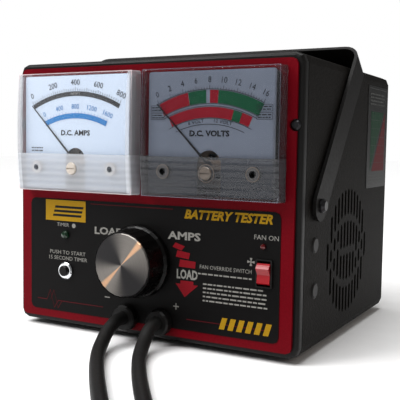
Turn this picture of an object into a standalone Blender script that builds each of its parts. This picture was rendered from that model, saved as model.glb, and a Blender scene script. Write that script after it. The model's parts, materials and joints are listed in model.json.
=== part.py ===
"""Carbon pile battery tester at rest: metres, +Z up, front towards -Y, feet on Z = 0."""

import math

import bmesh
import bpy
from mathutils import Vector

# Clearances
GAP = 0.0003            # between pieces that meet face to face
PLAY = 0.0003           # all round a pin, shaft or button in its hole

# Case
CASE_W, CASE_H, CASE_D = 0.296, 0.250, 0.258
CASE_CORNER = 0.0085    # corner radius seen from the front
CASE_REAR_ROUND = 0.008
WALL = 0.0015
BEZEL_D = 0.008
BEZEL_FRONT_ROUND = 0.003
SHADOW_GAP = 0.001
TONGUE_L = 0.010
WINDOW_W, WINDOW_Z0, WINDOW_Z1 = 0.270, 0.012, 0.238
FOOT_H, FOOT_R, FOOT_INSET_X, FOOT_INSET_Y = 0.005, 0.009, 0.028, 0.030

# Front panel
PANEL_W, PANEL_Z0, PANEL_Z1, PANEL_CORNER = 0.286, 0.005, 0.245, 0.005
PANEL_FRONT = 0.003     # how far its face stands in front of the rim plane
OVERLAY_W, OVERLAY_Z0, OVERLAY_Z1 = 0.264, 0.0123, 0.1209
OVERLAY_T = 0.0004
SCREW_X, SCREW_Z, SCREW_HEAD_R, SCREW_SHANK_R = 0.142, 0.1915, 0.004, 0.002

# Meters
METER_X = 0.070
COVER_W, COVER_Z0, COVER_Z1 = 0.132, 0.1287, 0.2393
COVER_EDGE, COVER_BULGE, COVER_TAPER, COVER_WALL = 0.017, 0.0035, 0.0017, 0.002
BASE_W, BASE_T = 0.118, 0.002
DIAL_W, DIAL_Z0, DIAL_Z1, DIAL_FRONT, DIAL_T = 0.119, 0.1318, 0.2362, 0.0135, 0.001
DOME_W, DOME_TOP = 0.023, 0.170
PIVOT_Z, NEEDLE_R, NEEDLE_REST = 0.158, 0.072, 45.0
BARREL_Z, BARREL_R, BARREL_WALL, BARREL_D = 0.163, 0.0315, 0.003, 0.033
BOSS_X, BOSS_Z, BOSS_R, BOSS_BORE_R = 0.0424, 0.1513, 0.006, 0.00275
ZERO_Z, ZERO_R = 0.151, 0.006

# Load knob, screw and carbon pile
KNOB_X, KNOB_Z = -0.005, 0.069
KNOB_FRONT, DISC_R, RIM_R, SKIRT_R, SKIRT_T = 0.032, 0.028, 0.0293, 0.033, 0.006
SHAFT_R = 0.0047
SET_SCREW_R, SET_SCREW_OUT, SET_SCREW_ANGLE = 0.0023, 0.014, -18.0
END_PLATE_W, END_PLATE_T, END_PLATE_BACK = 0.112, 0.005, 0.026
ROD_OFFSET, ROD_R = 0.050, 0.004
PRESS_W, PRESS_T, PRESS_TRAVEL = 0.090, 0.006, 0.0034
PLATE_W, PLATE_T, PLATE_COUNT = 0.090, 0.006, 16
CONTACT_T, STRAP_W, STRAP_Z = 0.002, 0.016, 0.010

# Controls
BUTTON_X, BUTTON_Z, RING_R, PLUNGER_R, BUTTON_TRAVEL = -0.0885, 0.0525, 0.00825, 0.005, 0.003
TIMER_LAMP_X, TIMER_LAMP_Z, TIMER_LAMP_R = -0.089, 0.087, 0.0042
FAN_LAMP_X, FAN_LAMP_Z, FAN_LAMP_R = 0.117, 0.092, 0.0025
ROCKER_X, ROCKER_Z, ROCKER_W, ROCKER_R, ROCKER_TILT = 0.1183, 0.0697, 0.0114, 0.0101, 12.0
SWITCH_BOX_D = 0.025

# Cooling fan and timer board
FAN_Y, FAN_Z, FAN_W, FAN_T, FAN_BORE_R, HUB_R, BLADE_R = 0.122, 0.077, 0.120, 0.025, 0.057, 0.021, 0.055
BLADES = 7
BOARD_L, BOARD_H, BOARD_T, STANDOFF_L = 0.100, 0.066, 0.0016, 0.018

# Vents
VENT_R, VENT_Y, VENT_Z = 0.059, 0.122, 0.077
SLOT_W, SLOT_PITCH, SLOT_LONG, SLOT_WEB = 0.005, 0.0093, 0.0255, 0.0045

# Side plugs and label
PLUG_R, PLUGS = 0.007, ((0.033, 0.0915), (0.034, 0.0525))
LABEL_Y0, LABEL_Y1, LABEL_Z0, LABEL_Z1, LABEL_T = 0.176, 0.246, 0.133, 0.237, 0.0003

# Handle
STRAP_T, STRAP_WIDE, HANDLE_L, HANDLE_BEND = 0.003, 0.027, 0.173, 0.015
HANDLE_Y, HANDLE_Z, HANDLE_LEAN = 0.0345, 0.125, 38.16
WASHER_T, WASHER_R, BOLT_R, BOLT_HEAD_R, BOLT_HEAD_T = 0.0008, 0.009, 0.004, 0.006, 0.004

# Leads and their bushings
LEAD_R = 0.006
GLAND_X, GLAND_Z, GLAND_R, GLAND_OUT = (-0.0174, 0.0186), 0.0165, 0.012, 0.012
GLAND_BODY_R, NUT_R, NUT_T = 0.009, 0.0105, 0.005
COIL_OUTER, COIL_TURNS = 0.074, 1.36

# Battery clamps
CLAMP_H, JAW_T, LUG_T = 0.022, 0.002, 0.0016
PIN_R, LUG_R, BARREL_CRIMP_R = 0.0028, 0.0065, 0.0075

FACE_Y = -(CASE_D - KNOB_FRONT) / 2     # the rim plane of the case
SIDES = ((-1, "left"), (1, "right"))


def out(t):
    """Y of a place t in front of the rim plane."""
    return FACE_Y - t


def back(d):
    """Y of a place d behind the rim plane."""
    return FACE_Y + d


def up(z):
    """Z of a place z above the case's underside."""
    return FOOT_H + z


# ---------------------------------------------------------------- scene helpers

def clear_scene():
    for obj in list(bpy.data.objects):
        bpy.data.objects.remove(obj, do_unlink=True)


def collection(name, rendered=True):
    made = bpy.data.collections.new(name)
    made.hide_render = not rendered
    bpy.context.scene.collection.children.link(made)
    return made


def linear(value):
    return value / 12.92 if value <= 0.04045 else ((value + 0.055) / 1.055) ** 2.4


def finish(obj, colour, roughness=0.5, metallic=0.0):
    """Give the object its own Principled material; the colour is sRGB hex."""
    mat = bpy.data.materials.new(obj.name + "_finish")
    mat.use_nodes = True
    shader = mat.node_tree.nodes["Principled BSDF"]
    rgb = [linear(int(colour[i:i + 2], 16) / 255) for i in (1, 3, 5)]
    shader.inputs["Base Color"].default_value = (*rgb, 1.0)
    shader.inputs["Roughness"].default_value = roughness
    shader.inputs["Metallic"].default_value = metallic
    mat.diffuse_color = (*rgb, 1.0)
    obj.data.materials.append(mat)


def mesh_of(name, shapes, origin=(0, 0, 0)):
    """One mesh of closed shapes, each (points, faces), with its points measured from origin."""
    bm = bmesh.new()
    for points, faces in shapes:
        verts = [bm.verts.new(Vector(p) - Vector(origin)) for p in points]
        for face in faces:
            bm.faces.new([verts[i] for i in face])
    bmesh.ops.recalc_face_normals(bm, faces=bm.faces)
    mesh = bpy.data.meshes.new(name)
    bm.to_mesh(mesh)
    bm.free()
    mesh.shade_smooth()
    mesh.set_sharp_from_angle(angle=math.radians(35))
    return mesh


def solid(name, shapes, colour, roughness=0.5, metallic=0.0, origin=(0, 0, 0)):
    """A node whose shapes are given in world places and whose origin is its joint's."""
    obj = bpy.data.objects.new(name, mesh_of(name, shapes, origin))
    obj.location = origin
    OBJECT.objects.link(obj)
    finish(obj, colour, roughness, metallic)
    return obj


def turned_about(obj, holder=None, place=(0, 0, 0), angles=(0, 0, 0)):
    """Place a node that was modelled in its own frame."""
    obj.parent = holder
    obj.location = place
    obj.rotation_euler = angles
    return obj


def join(obj, shapes, operation, own_frame=False):
    helper = bpy.data.objects.new(obj.name + "_" + operation.lower(), mesh_of(obj.name, shapes))
    helper.display_type = "WIRE"
    helper.hide_render = True
    CUTTERS.objects.link(helper)
    if own_frame:
        helper.parent = obj
    step = obj.modifiers.new(operation.title(), "BOOLEAN")
    step.operation, step.solver, step.object = operation, "EXACT", helper
    return obj


def cut(obj, *shapes, own_frame=False):
    return join(obj, shapes, "DIFFERENCE", own_frame)


def fuse(obj, *shapes, own_frame=False):
    return join(obj, shapes, "UNION", own_frame)


def bevel(obj, width, segments=2, angle=40.0):
    step = obj.modifiers.new("Bevel", "BEVEL")
    step.width, step.segments = width, segments
    step.limit_method, step.angle_limit = "ANGLE", math.radians(angle)
    return obj


# ---------------------------------------------------------------- shapes

AXES = {
    "X": lambda u, v, s: (s, u, v),
    "Y": lambda u, v, s: (u, s, v),
    "Z": lambda u, v, s: (u, v, s),
}


def loft(rings):
    """Close a skin over rings that have the same number of points."""
    n = len(rings[0])
    points = [p for ring in rings for p in ring]
    faces = [tuple(range(n)), tuple(range(len(points) - n, len(points)))]
    for start in range(0, len(points) - n, n):
        faces += [(start + i, start + (i + 1) % n, start + n + (i + 1) % n, start + n + i)
                  for i in range(n)]
    return points, faces


def extrude(outline, axis, lo, hi):
    """Push an outline (y, z), (x, z) or (x, y) along X, Y or Z."""
    put = AXES[axis]
    return loft([[put(u, v, s) for u, v in outline] for s in (lo, hi)])


def box(lo, hi):
    return extrude(((lo[0], lo[1]), (hi[0], lo[1]), (hi[0], hi[1]), (lo[0], hi[1])), "Z", lo[2], hi[2])


def arc(cu, cv, radius, start, end, steps):
    angles = (math.radians(start + (end - start) * k / steps) for k in range(steps + 1))
    return [(cu + radius * math.cos(a), cv + radius * math.sin(a)) for a in angles]


def circle(cu, cv, radius, steps=16):
    return arc(cu, cv, radius, 0, 360, steps)[:-1]


def cylinder(axis, centre, radius, lo, hi, steps=12):
    return extrude(circle(*centre, radius, steps), axis, lo, hi)


def rounded_rect(cu, cv, width, height, radius, steps=2):
    u, v = width / 2 - radius, height / 2 - radius
    corners = ((u, v, 0), (-u, v, 90), (-u, -v, 180), (u, -v, 270))
    return [p for du, dv, a in corners for p in arc(cu + du, cv + dv, radius, a, a + 90, steps)]


def slot(cu, cv, width, lo, hi, steps=2):
    """A round-ended slot that stands from lo to hi about cv."""
    r = width / 2
    return arc(cu, cv + hi - r, r, 0, 180, steps) + arc(cu, cv + lo + r, r, 180, 360, steps)


def turned(profile, axis, centre, steps=16):
    """Turn (radius, place) points round an axis; a profile off the axis closes on itself."""
    put, points, rows = AXES[axis], [], []
    for radius, place in profile:
        first = len(points)
        count = steps if radius > 1e-9 else 1
        for u, v in arc(*centre, radius, 0, 360, steps)[:count]:
            points.append(put(u, v, place))
        rows.append(range(first, first + count))
    pairs = list(zip(rows, rows[1:]))
    if min(len(rows[0]), len(rows[-1])) > 1:
        pairs.append((rows[-1], rows[0]))
    faces = []
    for a, b in pairs:
        for k in range(steps if len(a) + len(b) > 2 else 0):
            j = (k + 1) % steps
            face = [a[k % len(a)], a[j % len(a)], b[j % len(b)], b[k % len(b)]]
            faces.append(tuple(dict.fromkeys(face)))
    return points, faces


def strip(line, thickness):
    """The outline of a bent strip: a centre line in its plane, and its thickness."""
    sides = ([], [])
    for i, here in enumerate(line):
        before = Vector(here) - Vector(line[max(i - 1, 0)])
        after = Vector(line[min(i + 1, len(line) - 1)]) - Vector(here)
        ways = [w.normalized() for w in (before, after) if w.length > 0]
        mean = (ways[0] + ways[-1]).normalized()
        normal = Vector((-mean.y, mean.x)) * (thickness / 2 / mean.dot(ways[0]))
        sides[0].append(tuple(Vector(here) + normal))
        sides[1].append(tuple(Vector(here) - normal))
    return sides[0] + sides[1][::-1]


def smooth(points, spacing):
    """Places about a spacing apart on a smooth curve through chosen points."""
    ends = [2 * points[0] - points[1], *points, 2 * points[-1] - points[-2]]
    fine = []
    for a, b, c, d in zip(ends, ends[1:], ends[2:], ends[3:]):
        for k in range(16):
            t = k / 16
            fine.append(0.5 * (2 * b + (c - a) * t + (2 * a - 5 * b + 4 * c - d) * t * t
                               + (3 * b - a - 3 * c + d) * t ** 3))
    fine.append(points[-1])
    lengths = [(q - p).length for p, q in zip(fine, fine[1:])]
    count = max(round(sum(lengths) / spacing), 1)
    places, walked, step = [points[0]], 0.0, sum(lengths) / count
    for (p, q), long in zip(zip(fine, fine[1:]), lengths):
        while walked + long >= step * len(places) and len(places) < count:
            places.append(p.lerp(q, (step * len(places) - walked) / long))
        walked += long
    return [*places, points[-1]]


# ---------------------------------------------------------------- case

def rounded_box_rings(width, height, radius, front, rear, front_round, rear_round, steps=3):
    """Rings from front to rear of a box that is rounded all round."""
    rings = []

    def ring(inset, y):
        outline = rounded_rect(0, up(CASE_H / 2), width - 2 * inset, height - 2 * inset,
                               max(radius - inset, 0.0005))
        rings.append([(x, y, z) for x, z in outline])

    for k in range(steps if front_round else 0):
        a = math.radians(90 * k / steps)
        ring(front_round * (1 - math.sin(a)), front + front_round * (1 - math.cos(a)))
    ring(0, front + front_round)
    ring(0, rear - rear_round)
    for k in range(1, steps + 1 if rear_round else 0):
        a = math.radians(90 * k / steps)
        ring(rear_round * (1 - math.cos(a)), rear - rear_round * (1 - math.sin(a)))
    return rings


def vent_slots(side):
    """Cutters of one side's round grille of upright slots."""
    shapes = []
    span = sorted((side * (CASE_W / 2 + 0.004), side * (CASE_W / 2 - 0.006)))
    for column in range(-6, 7):
        y = column * SLOT_PITCH
        tall = math.sqrt(VENT_R ** 2 - y ** 2)
        if abs(column) == 6:
            pieces = [(-0.013, 0.013)]
        else:
            middle = tall - SLOT_LONG - SLOT_WEB
            pieces = [(tall - SLOT_LONG, tall), (-tall, SLOT_LONG - tall)]
            if abs(column) < 5:
                web = math.copysign(0.007, -column) if abs(column) == 3 else 0.0
                pieces += [(-middle, web - SLOT_WEB / 2), (web + SLOT_WEB / 2, middle)]
            else:
                pieces.append((-middle, middle))
        for lo, hi in pieces:
            shapes.append(extrude(slot(back(VENT_Y) + y, up(VENT_Z), SLOT_W, lo, hi), "X", *span))
    return shapes


def build_case():
    front = back(BEZEL_D + SHADOW_GAP)
    rear = back(CASE_D)
    shell = solid("case_shell", [loft(rounded_box_rings(
        CASE_W, CASE_H, CASE_CORNER, front, rear, 0, CASE_REAR_ROUND))], "#232220", 0.55, 0.0)
    cut(shell, loft(rounded_box_rings(
        CASE_W - 2 * WALL, CASE_H - 2 * WALL, CASE_CORNER - WALL, front - 0.01, rear - WALL,
        0, CASE_REAR_ROUND - WALL)))
    cut(shell, *vent_slots(1), *vent_slots(-1))
    reach = CASE_W / 2 + 0.01
    inner = CASE_W / 2 - 0.01
    bolt = (back(HANDLE_Y), up(HANDLE_Z))
    cut(shell, *[cylinder("X", bolt, BOLT_R + PLAY, *sorted((s * inner, s * reach)))
                 for s in (-1, 1)],
        *[cylinder("X", (back(y), up(z)), PLUG_R - 0.0015, inner, reach) for y, z in PLUGS],
        *[cylinder("Z", (x, y), 0.0024, up(-0.004), up(0.006), 16) for x, y in foot_places()])

    bezel = solid("front_bezel", [loft(rounded_box_rings(
        CASE_W, CASE_H, CASE_CORNER, out(0), back(BEZEL_D), BEZEL_FRONT_ROUND, 0))],
        "#191817", 0.5, 0.0)
    inset = 2 * (WALL + PLAY)
    fuse(bezel, loft(rounded_box_rings(CASE_W - inset, CASE_H - inset, CASE_CORNER - inset / 2,
                                       back(BEZEL_D / 2), back(BEZEL_D + TONGUE_L), 0, 0)))
    inset += 2 * WALL
    cut(bezel, loft(rounded_box_rings(CASE_W - inset, CASE_H - inset, CASE_CORNER - inset / 2,
                                      back(WALL), back(BEZEL_D + TONGUE_L + 0.01), 0, 0)))
    window = rounded_rect(0, up((WINDOW_Z0 + WINDOW_Z1) / 2), WINDOW_W, WINDOW_Z1 - WINDOW_Z0, 0.004)
    cut(bezel, extrude(window, "Y", out(0.01), back(0.005)))
    cut(bezel, *[cylinder("Y", (x, up(GLAND_Z)), NUT_R + 2 * PLAY, out(0.01), back(0.005))
                 for x in GLAND_X],
        *[cylinder("Y", (s * SCREW_X, up(SCREW_Z)), SCREW_SHANK_R + PLAY, out(0.01), back(0.005), 16)
          for s in (-1, 1)])

    names = ("foot_front_left", "foot_rear_left", "foot_front_right", "foot_rear_right")
    for name, place in zip(names, foot_places()):
        solid(name, [turned([(0, 0), (FOOT_R * 0.85, 0), (FOOT_R, FOOT_H - GAP), (0.002, FOOT_H - GAP),
                             (0.002, up(WALL + 0.001)), (0, up(WALL + 0.001))], "Z", place, 20)],
              "#151515", 0.8)


def foot_places():
    x = CASE_W / 2 - FOOT_INSET_X
    return [(s * x, y) for s in (-1, 1)
            for y in (back(FOOT_INSET_Y), back(CASE_D - FOOT_INSET_Y))]


def build_side_trim():
    face = CASE_W / 2
    for name, (y, z) in zip(("upper_side_plug", "lower_side_plug"), PLUGS):
        solid(name, [turned(
            [(0, face - 0.003), (PLUG_R - 0.002, face - 0.003), (PLUG_R - 0.002, face + GAP),
             (PLUG_R, face + GAP), (PLUG_R * 0.8, face + 0.0012), (0, face + 0.0012)],
            "X", (back(y), up(z)), 20)], "#121212", 0.5)
    label = rounded_rect(back((LABEL_Y0 + LABEL_Y1) / 2), up((LABEL_Z0 + LABEL_Z1) / 2),
                         LABEL_Y1 - LABEL_Y0, LABEL_Z1 - LABEL_Z0, 0.002)
    solid("info_label", [extrude(label, "X", face + 0.0001, face + 0.0001 + LABEL_T)],
          "#b9bcb6", 0.5)


# ---------------------------------------------------------------- front panel

def panel_holes():
    """Every hole that the panel and its overlay share."""
    deep = (out(0.02), back(0.01))

    def hole(x, z, radius):
        return cylinder("Y", (x, up(z)), radius, *deep, 16)

    switch = rounded_rect(ROCKER_X, up(ROCKER_Z), ROCKER_W + 0.0026, 2 * ROCKER_R + 0.0030, 0.0006)
    return [hole(KNOB_X, KNOB_Z, SHAFT_R + 0.0013), hole(BUTTON_X, BUTTON_Z, 0.0063 + PLAY),
            hole(TIMER_LAMP_X, TIMER_LAMP_Z, TIMER_LAMP_R - 0.0006 + PLAY),
            hole(FAN_LAMP_X, FAN_LAMP_Z, FAN_LAMP_R - 0.0003 + PLAY),
            *[hole(x, GLAND_Z, GLAND_BODY_R + PLAY) for x in GLAND_X],
            extrude(switch, "Y", *deep)]


def build_panel():
    outline = rounded_rect(0, up((PANEL_Z0 + PANEL_Z1) / 2), PANEL_W, PANEL_Z1 - PANEL_Z0,
                           PANEL_CORNER)
    panel = solid("front_panel", [extrude(outline, "Y", out(PANEL_FRONT), out(GAP))],
                  "#63040f", 0.45)
    cut(panel, *panel_holes(),
        *[cylinder("Y", (s * METER_X, up(BARREL_Z)), BARREL_R + 2 * PLAY, out(0.02), back(0.01), 24)
          for s in (-1, 1)],
        *[cylinder("Y", (s * SCREW_X, up(SCREW_Z)), SCREW_HEAD_R + 0.0012, out(0.02), back(0.01))
          for s in (-1, 1)])

    outline = rounded_rect(0, up((OVERLAY_Z0 + OVERLAY_Z1) / 2), OVERLAY_W,
                           OVERLAY_Z1 - OVERLAY_Z0, PANEL_CORNER)
    face = PANEL_FRONT + 0.0001
    overlay = solid("panel_overlay", [extrude(outline, "Y", out(face + OVERLAY_T), out(face))],
                    "#0d0c0d", 0.4)
    cut(overlay, *panel_holes())

    for s, side in SIDES:
        solid("panel_screw_" + side, [turned(
            [(0, out(0.0028)), (SCREW_HEAD_R * 0.7, out(0.0028)), (SCREW_HEAD_R, out(0.0016)),
             (SCREW_HEAD_R, out(GAP)), (SCREW_SHANK_R, out(GAP)), (SCREW_SHANK_R, back(0.008)),
             (0, back(0.008))], "Y", (s * SCREW_X, up(SCREW_Z)), 14)], "#1c1c1c", 0.35, 0.8)


# ---------------------------------------------------------------- meters

def cover_shape(cx, inset, rear):
    """The cover's skin, moved inwards by inset; its sides lean in towards the front."""
    z0, z1 = COVER_Z0 + inset, COVER_Z1 - inset
    lean = COVER_TAPER / 2
    edge = COVER_EDGE - inset
    half = (z1 - z0) / 2 - lean
    radius = (half ** 2 + COVER_BULGE ** 2) / (2 * COVER_BULGE)
    spread = math.degrees(math.asin(half / radius))
    front = [((z0 + z1) / 2 + v, edge + COVER_BULGE - radius + t) for t, v in
             arc(0, 0, radius, -spread, spread, 6)]
    profile = [(z0, rear), *front, (z1, rear)]
    rings = []
    for s in (-1, 1):
        rings.append([(cx + s * (COVER_W / 2 - inset - lean * max(t, 0) / COVER_EDGE),
                       out(t), up(z)) for z, t in profile])
    return loft(rings)


def cover_front(z):
    """How far the cover's outer face stands out at height z."""
    half = (COVER_Z1 - COVER_Z0) / 2
    return COVER_EDGE + COVER_BULGE * (1 - ((z - (COVER_Z0 + COVER_Z1) / 2) / half) ** 2)


def build_meter(name, cx):
    seat = PANEL_FRONT + GAP
    bosses = [(cx + s * BOSS_X, up(BOSS_Z)) for s in (-1, 1)]
    pivot = (cx, up(PIVOT_Z))

    cover = solid(name + "_cover", [cover_shape(cx, 0, seat)], "#a9b4bd", 0.1)
    bevel(cover, 0.0015, 2)
    cut(cover, cover_shape(cx, COVER_WALL, -0.01))
    boss_foot = seat + BASE_T + GAP
    fuse(cover, *[cylinder("Y", b, BOSS_R, out(cover_front(BOSS_Z) - 0.0008), out(boss_foot))
                  for b in bosses])
    cut(cover, *[turned([(0, out(0.03)), (BOSS_BORE_R, out(0.03)), (BOSS_BORE_R, out(0.0085)),
                         (0.0018, out(0.0085)), (0.0018, out(0)), (0, out(0))], "Y", b, 12)
                 for b in bosses],
        cylinder("Y", (cx, up(ZERO_Z)), ZERO_R, out(0.03), out(0.014)))

    outline = rounded_rect(cx, up((DIAL_Z0 + DIAL_Z1) / 2), DIAL_W, DIAL_Z1 - DIAL_Z0, 0.002)
    dial = solid(name + "_dial", [extrude(outline, "Y", out(DIAL_FRONT), out(DIAL_FRONT - DIAL_T))],
                 "#8f98a3", 0.6)
    dome = DOME_W / 2
    cut(dial, extrude([(cx - dome, up(DIAL_Z0 - 0.01)), *arc(cx, up(DOME_TOP - dome), dome, 180, 0, 12),
                       (cx + dome, up(DIAL_Z0 - 0.01))], "Y", out(0.03), out(0.005)),
        *[cylinder("Y", b, BOSS_R + PLAY, out(0.03), out(0.005)) for b in bosses])

    base_z0, base_z1 = DIAL_Z0 + 0.0005, DIAL_Z1 - 0.0005
    outline = rounded_rect(cx, up((base_z0 + base_z1) / 2), BASE_W, base_z1 - base_z0, 0.003)
    housing = solid(name + "_housing", [extrude(outline, "Y", out(seat + BASE_T), out(seat))],
                    "#101011", 0.4)
    fuse(housing, cylinder("Y", (cx, up(BARREL_Z)), BARREL_R, out(seat + BASE_T - 0.0005),
                           back(BARREL_D), 24))
    posts = [(cx + s * 0.052, up(z)) for s in (-1, 1) for z in (base_z0 + 0.009, base_z1 - 0.009)]
    fuse(housing, *[cylinder("Y", p, 0.003, out(DIAL_FRONT - DIAL_T - GAP), out(seat + 0.0005), 12)
                    for p in posts])
    cut(housing, cylinder("Y", (cx, up(BARREL_Z)), BARREL_R - BARREL_WALL, out(0.02),
                          back(BARREL_D - BARREL_WALL), 24),
        *[cylinder("Y", b, 0.0018, out(0.02), back(0.002), 12) for b in bosses])

    build_movement(name, cx, pivot)
    build_needle(name, pivot)

    zero_front = cover_front(ZERO_Z)
    zero = solid(name + "_zero_screw", [turned(
        [(0, out(zero_front + 0.0012)), (ZERO_R - 0.001, out(zero_front + 0.0012)),
         (ZERO_R - PLAY, out(zero_front + 0.0004)), (ZERO_R - PLAY, out(zero_front - 0.0024)),
         (0, out(zero_front - 0.0024))], "Y", (cx, up(ZERO_Z)), 16)],
        "#0b0b0c", 0.35, origin=(cx, out(zero_front), up(ZERO_Z)))
    cut(zero, box((cx - 0.0045, out(zero_front + 0.002), up(ZERO_Z) - 0.0006),
                  (cx + 0.0045, out(zero_front + 0.0002), up(ZERO_Z) + 0.0006)))


MAGNET_FRONT, MAGNET_REAR, MAGNET_R, MAGNET_BORE = 0.006, 0.024, 0.0225, 0.0135
CORE_R, COIL_R, COIL_BAR = 0.008, 0.0115, 0.0025


def build_movement(name, cx, pivot):
    """The magnet with its core, and the bridge that carries the pivot."""
    movement = solid(name + "_movement", [turned(
        [(MAGNET_BORE, back(MAGNET_FRONT)), (MAGNET_R, back(MAGNET_FRONT)),
         (MAGNET_R, back(MAGNET_REAR)), (MAGNET_BORE, back(MAGNET_REAR))], "Y", pivot, 20)],
        "#6d6f72", 0.4, 0.9)
    fuse(movement, cylinder("Y", pivot, CORE_R, back(MAGNET_FRONT + 0.001),
                            back(MAGNET_REAR - 0.001), 20))
    mid = (MAGNET_FRONT + MAGNET_REAR) / 2
    z = pivot[1]
    fuse(movement, *[box((cx + min(s * 0.007, s * 0.0145), back(mid - 0.002), z - 0.002),
                         (cx + max(s * 0.007, s * 0.0145), back(mid + 0.002), z + 0.002))
                     for s in (-1, 1)])
    fuse(movement, *[cylinder("Y", (cx + s * 0.018, z), 0.0025, out(0.009), back(0.007), 12)
                     for s in (-1, 1)])
    fuse(movement, box((cx - 0.0215, out(0.0105), z - 0.004), (cx + 0.0215, out(0.008), z + 0.004)))
    cut(movement, cylinder("Y", pivot, 0.001 + PLAY, out(0.02), back(0.005), 12))


def build_needle(name, pivot):
    """Pointer, shaft and moving coil in one: pointer along +Z in its own frame."""
    top = out(0)

    def at(t):
        return -t               # its frame's Y, from the rim plane

    tip, tail = NEEDLE_R, -0.015
    pointer = extrude([(-0.0009, tail), (0.0009, tail), (0.0009, 0), (0.0003, tip),
                       (-0.0003, tip), (-0.0009, 0)], "Y", at(0.0149), at(0.0143))
    needle = solid(name + "_needle", [pointer], "#1b1b1d", 0.5)
    fuse(needle, cylinder("Y", (0, 0), 0.0035, at(0.0151), at(0.0141), 20),
         cylinder("Y", (0, tail + 0.002), 0.0025, at(0.0151), at(0.0141), 16), own_frame=True)
    fuse(needle, cylinder("Y", (0, 0), 0.001, at(0.0146), 0.004, 12), own_frame=True)
    half = COIL_BAR / 2
    fuse(needle, box((-half, 0.003, -COIL_R), (half, 0.005, COIL_R)), own_frame=True)
    fuse(needle, *[box((-half, 0.0045, min(s * (COIL_R - 0.0025), s * COIL_R)),
                       (half, 0.0262, max(s * (COIL_R - 0.0025), s * COIL_R)))
                   for s in (-1, 1)], own_frame=True)
    fuse(needle, box((-half, 0.0246, -COIL_R + 0.0004), (half, 0.0258, COIL_R - 0.0004)),
         own_frame=True)
    turned_about(needle, place=(pivot[0], top, pivot[1]),
                 angles=(0, -math.radians(NEEDLE_REST), 0))


# ---------------------------------------------------------------- load knob and carbon pile

PRESS_BACK = END_PLATE_BACK + END_PLATE_T + 0.010       # front face of the pressure plate
CONTACT_BACK = PRESS_BACK + PRESS_T + PRESS_TRAVEL + 0.0005
PILE_BACK = CONTACT_BACK + CONTACT_T + GAP
PILE_END = PILE_BACK + PLATE_COUNT * (PLATE_T + GAP) - GAP
KNOB_AXIS = (KNOB_X, up(KNOB_Z))


def square(width, lo, hi):
    """A plate square to the load screw and centred on it."""
    x, z = KNOB_AXIS
    return box((x - width / 2, back(lo), z - width / 2), (x + width / 2, back(hi), z + width / 2))


def build_knob():
    seat = PANEL_FRONT + OVERLAY_T + 0.0006
    recess = DISC_R + PLAY
    bore_end = 0.0242
    turn = dict(origin=(KNOB_X, out(seat), up(KNOB_Z)))
    knob = solid("load_knob", [turned(
        [(0, out(0.0296)), (recess, out(0.0296)), (recess, out(KNOB_FRONT - 0.0010)),
         (RIM_R - 0.0003, out(KNOB_FRONT - 0.0008)), (RIM_R, out(KNOB_FRONT - 0.0016)),
         (RIM_R + 0.0007, out(0.018)), (RIM_R + 0.0015, out(seat + SKIRT_T + 0.0010)),
         (SKIRT_R - 0.0008, out(seat + SKIRT_T)), (SKIRT_R, out(seat + SKIRT_T - 0.0010)),
         (SKIRT_R, out(seat + 0.0005)), (SKIRT_R - 0.0005, out(seat)), (SHAFT_R + PLAY, out(seat)),
         (SHAFT_R + PLAY, out(bore_end)), (0, out(bore_end))], "Y", KNOB_AXIS, 24)],
        "#141414", 0.35, **turn)
    angle = math.radians(SET_SCREW_ANGLE)

    def radial(radius, lo, hi):
        """A cylinder that lies across the knob, between two distances from its axis."""
        rings = []
        for far in (lo, hi):
            ring = []
            for u, v in circle(0, 0, radius, 16):
                x = far * math.cos(angle) - u * math.sin(angle)
                z = far * math.sin(angle) + u * math.cos(angle)
                ring.append((KNOB_X + x, out(SET_SCREW_OUT) + v, up(KNOB_Z) + z))
            rings.append(ring)
        return loft(rings)

    cut(knob, radial(SET_SCREW_R + PLAY, 0.003, 0.05))
    solid("knob_set_screw", [radial(SET_SCREW_R, SHAFT_R + 2 * PLAY, 0.0135)],
          "#2a2a2b", 0.4, 0.9, **turn)
    solid("knob_disc", [turned(
        [(0, out(KNOB_FRONT)), (DISC_R - 0.0008, out(KNOB_FRONT)), (DISC_R, out(KNOB_FRONT - 0.0008)),
         (DISC_R, out(0.0299)), (0, out(0.0299))], "Y", KNOB_AXIS, 24)],
        "#b4b6b9", 0.3, 1.0, **turn)
    tip = back(PRESS_BACK - 0.0015)
    solid("load_screw", [turned(
        [(0, out(bore_end - GAP)), (SHAFT_R, out(bore_end - GAP)), (SHAFT_R, tip - 0.001),
         (SHAFT_R - 0.001, tip), (0, tip)], "Y", KNOB_AXIS, 16)], "#8b8c8e", 0.35, 1.0, **turn)


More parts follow.
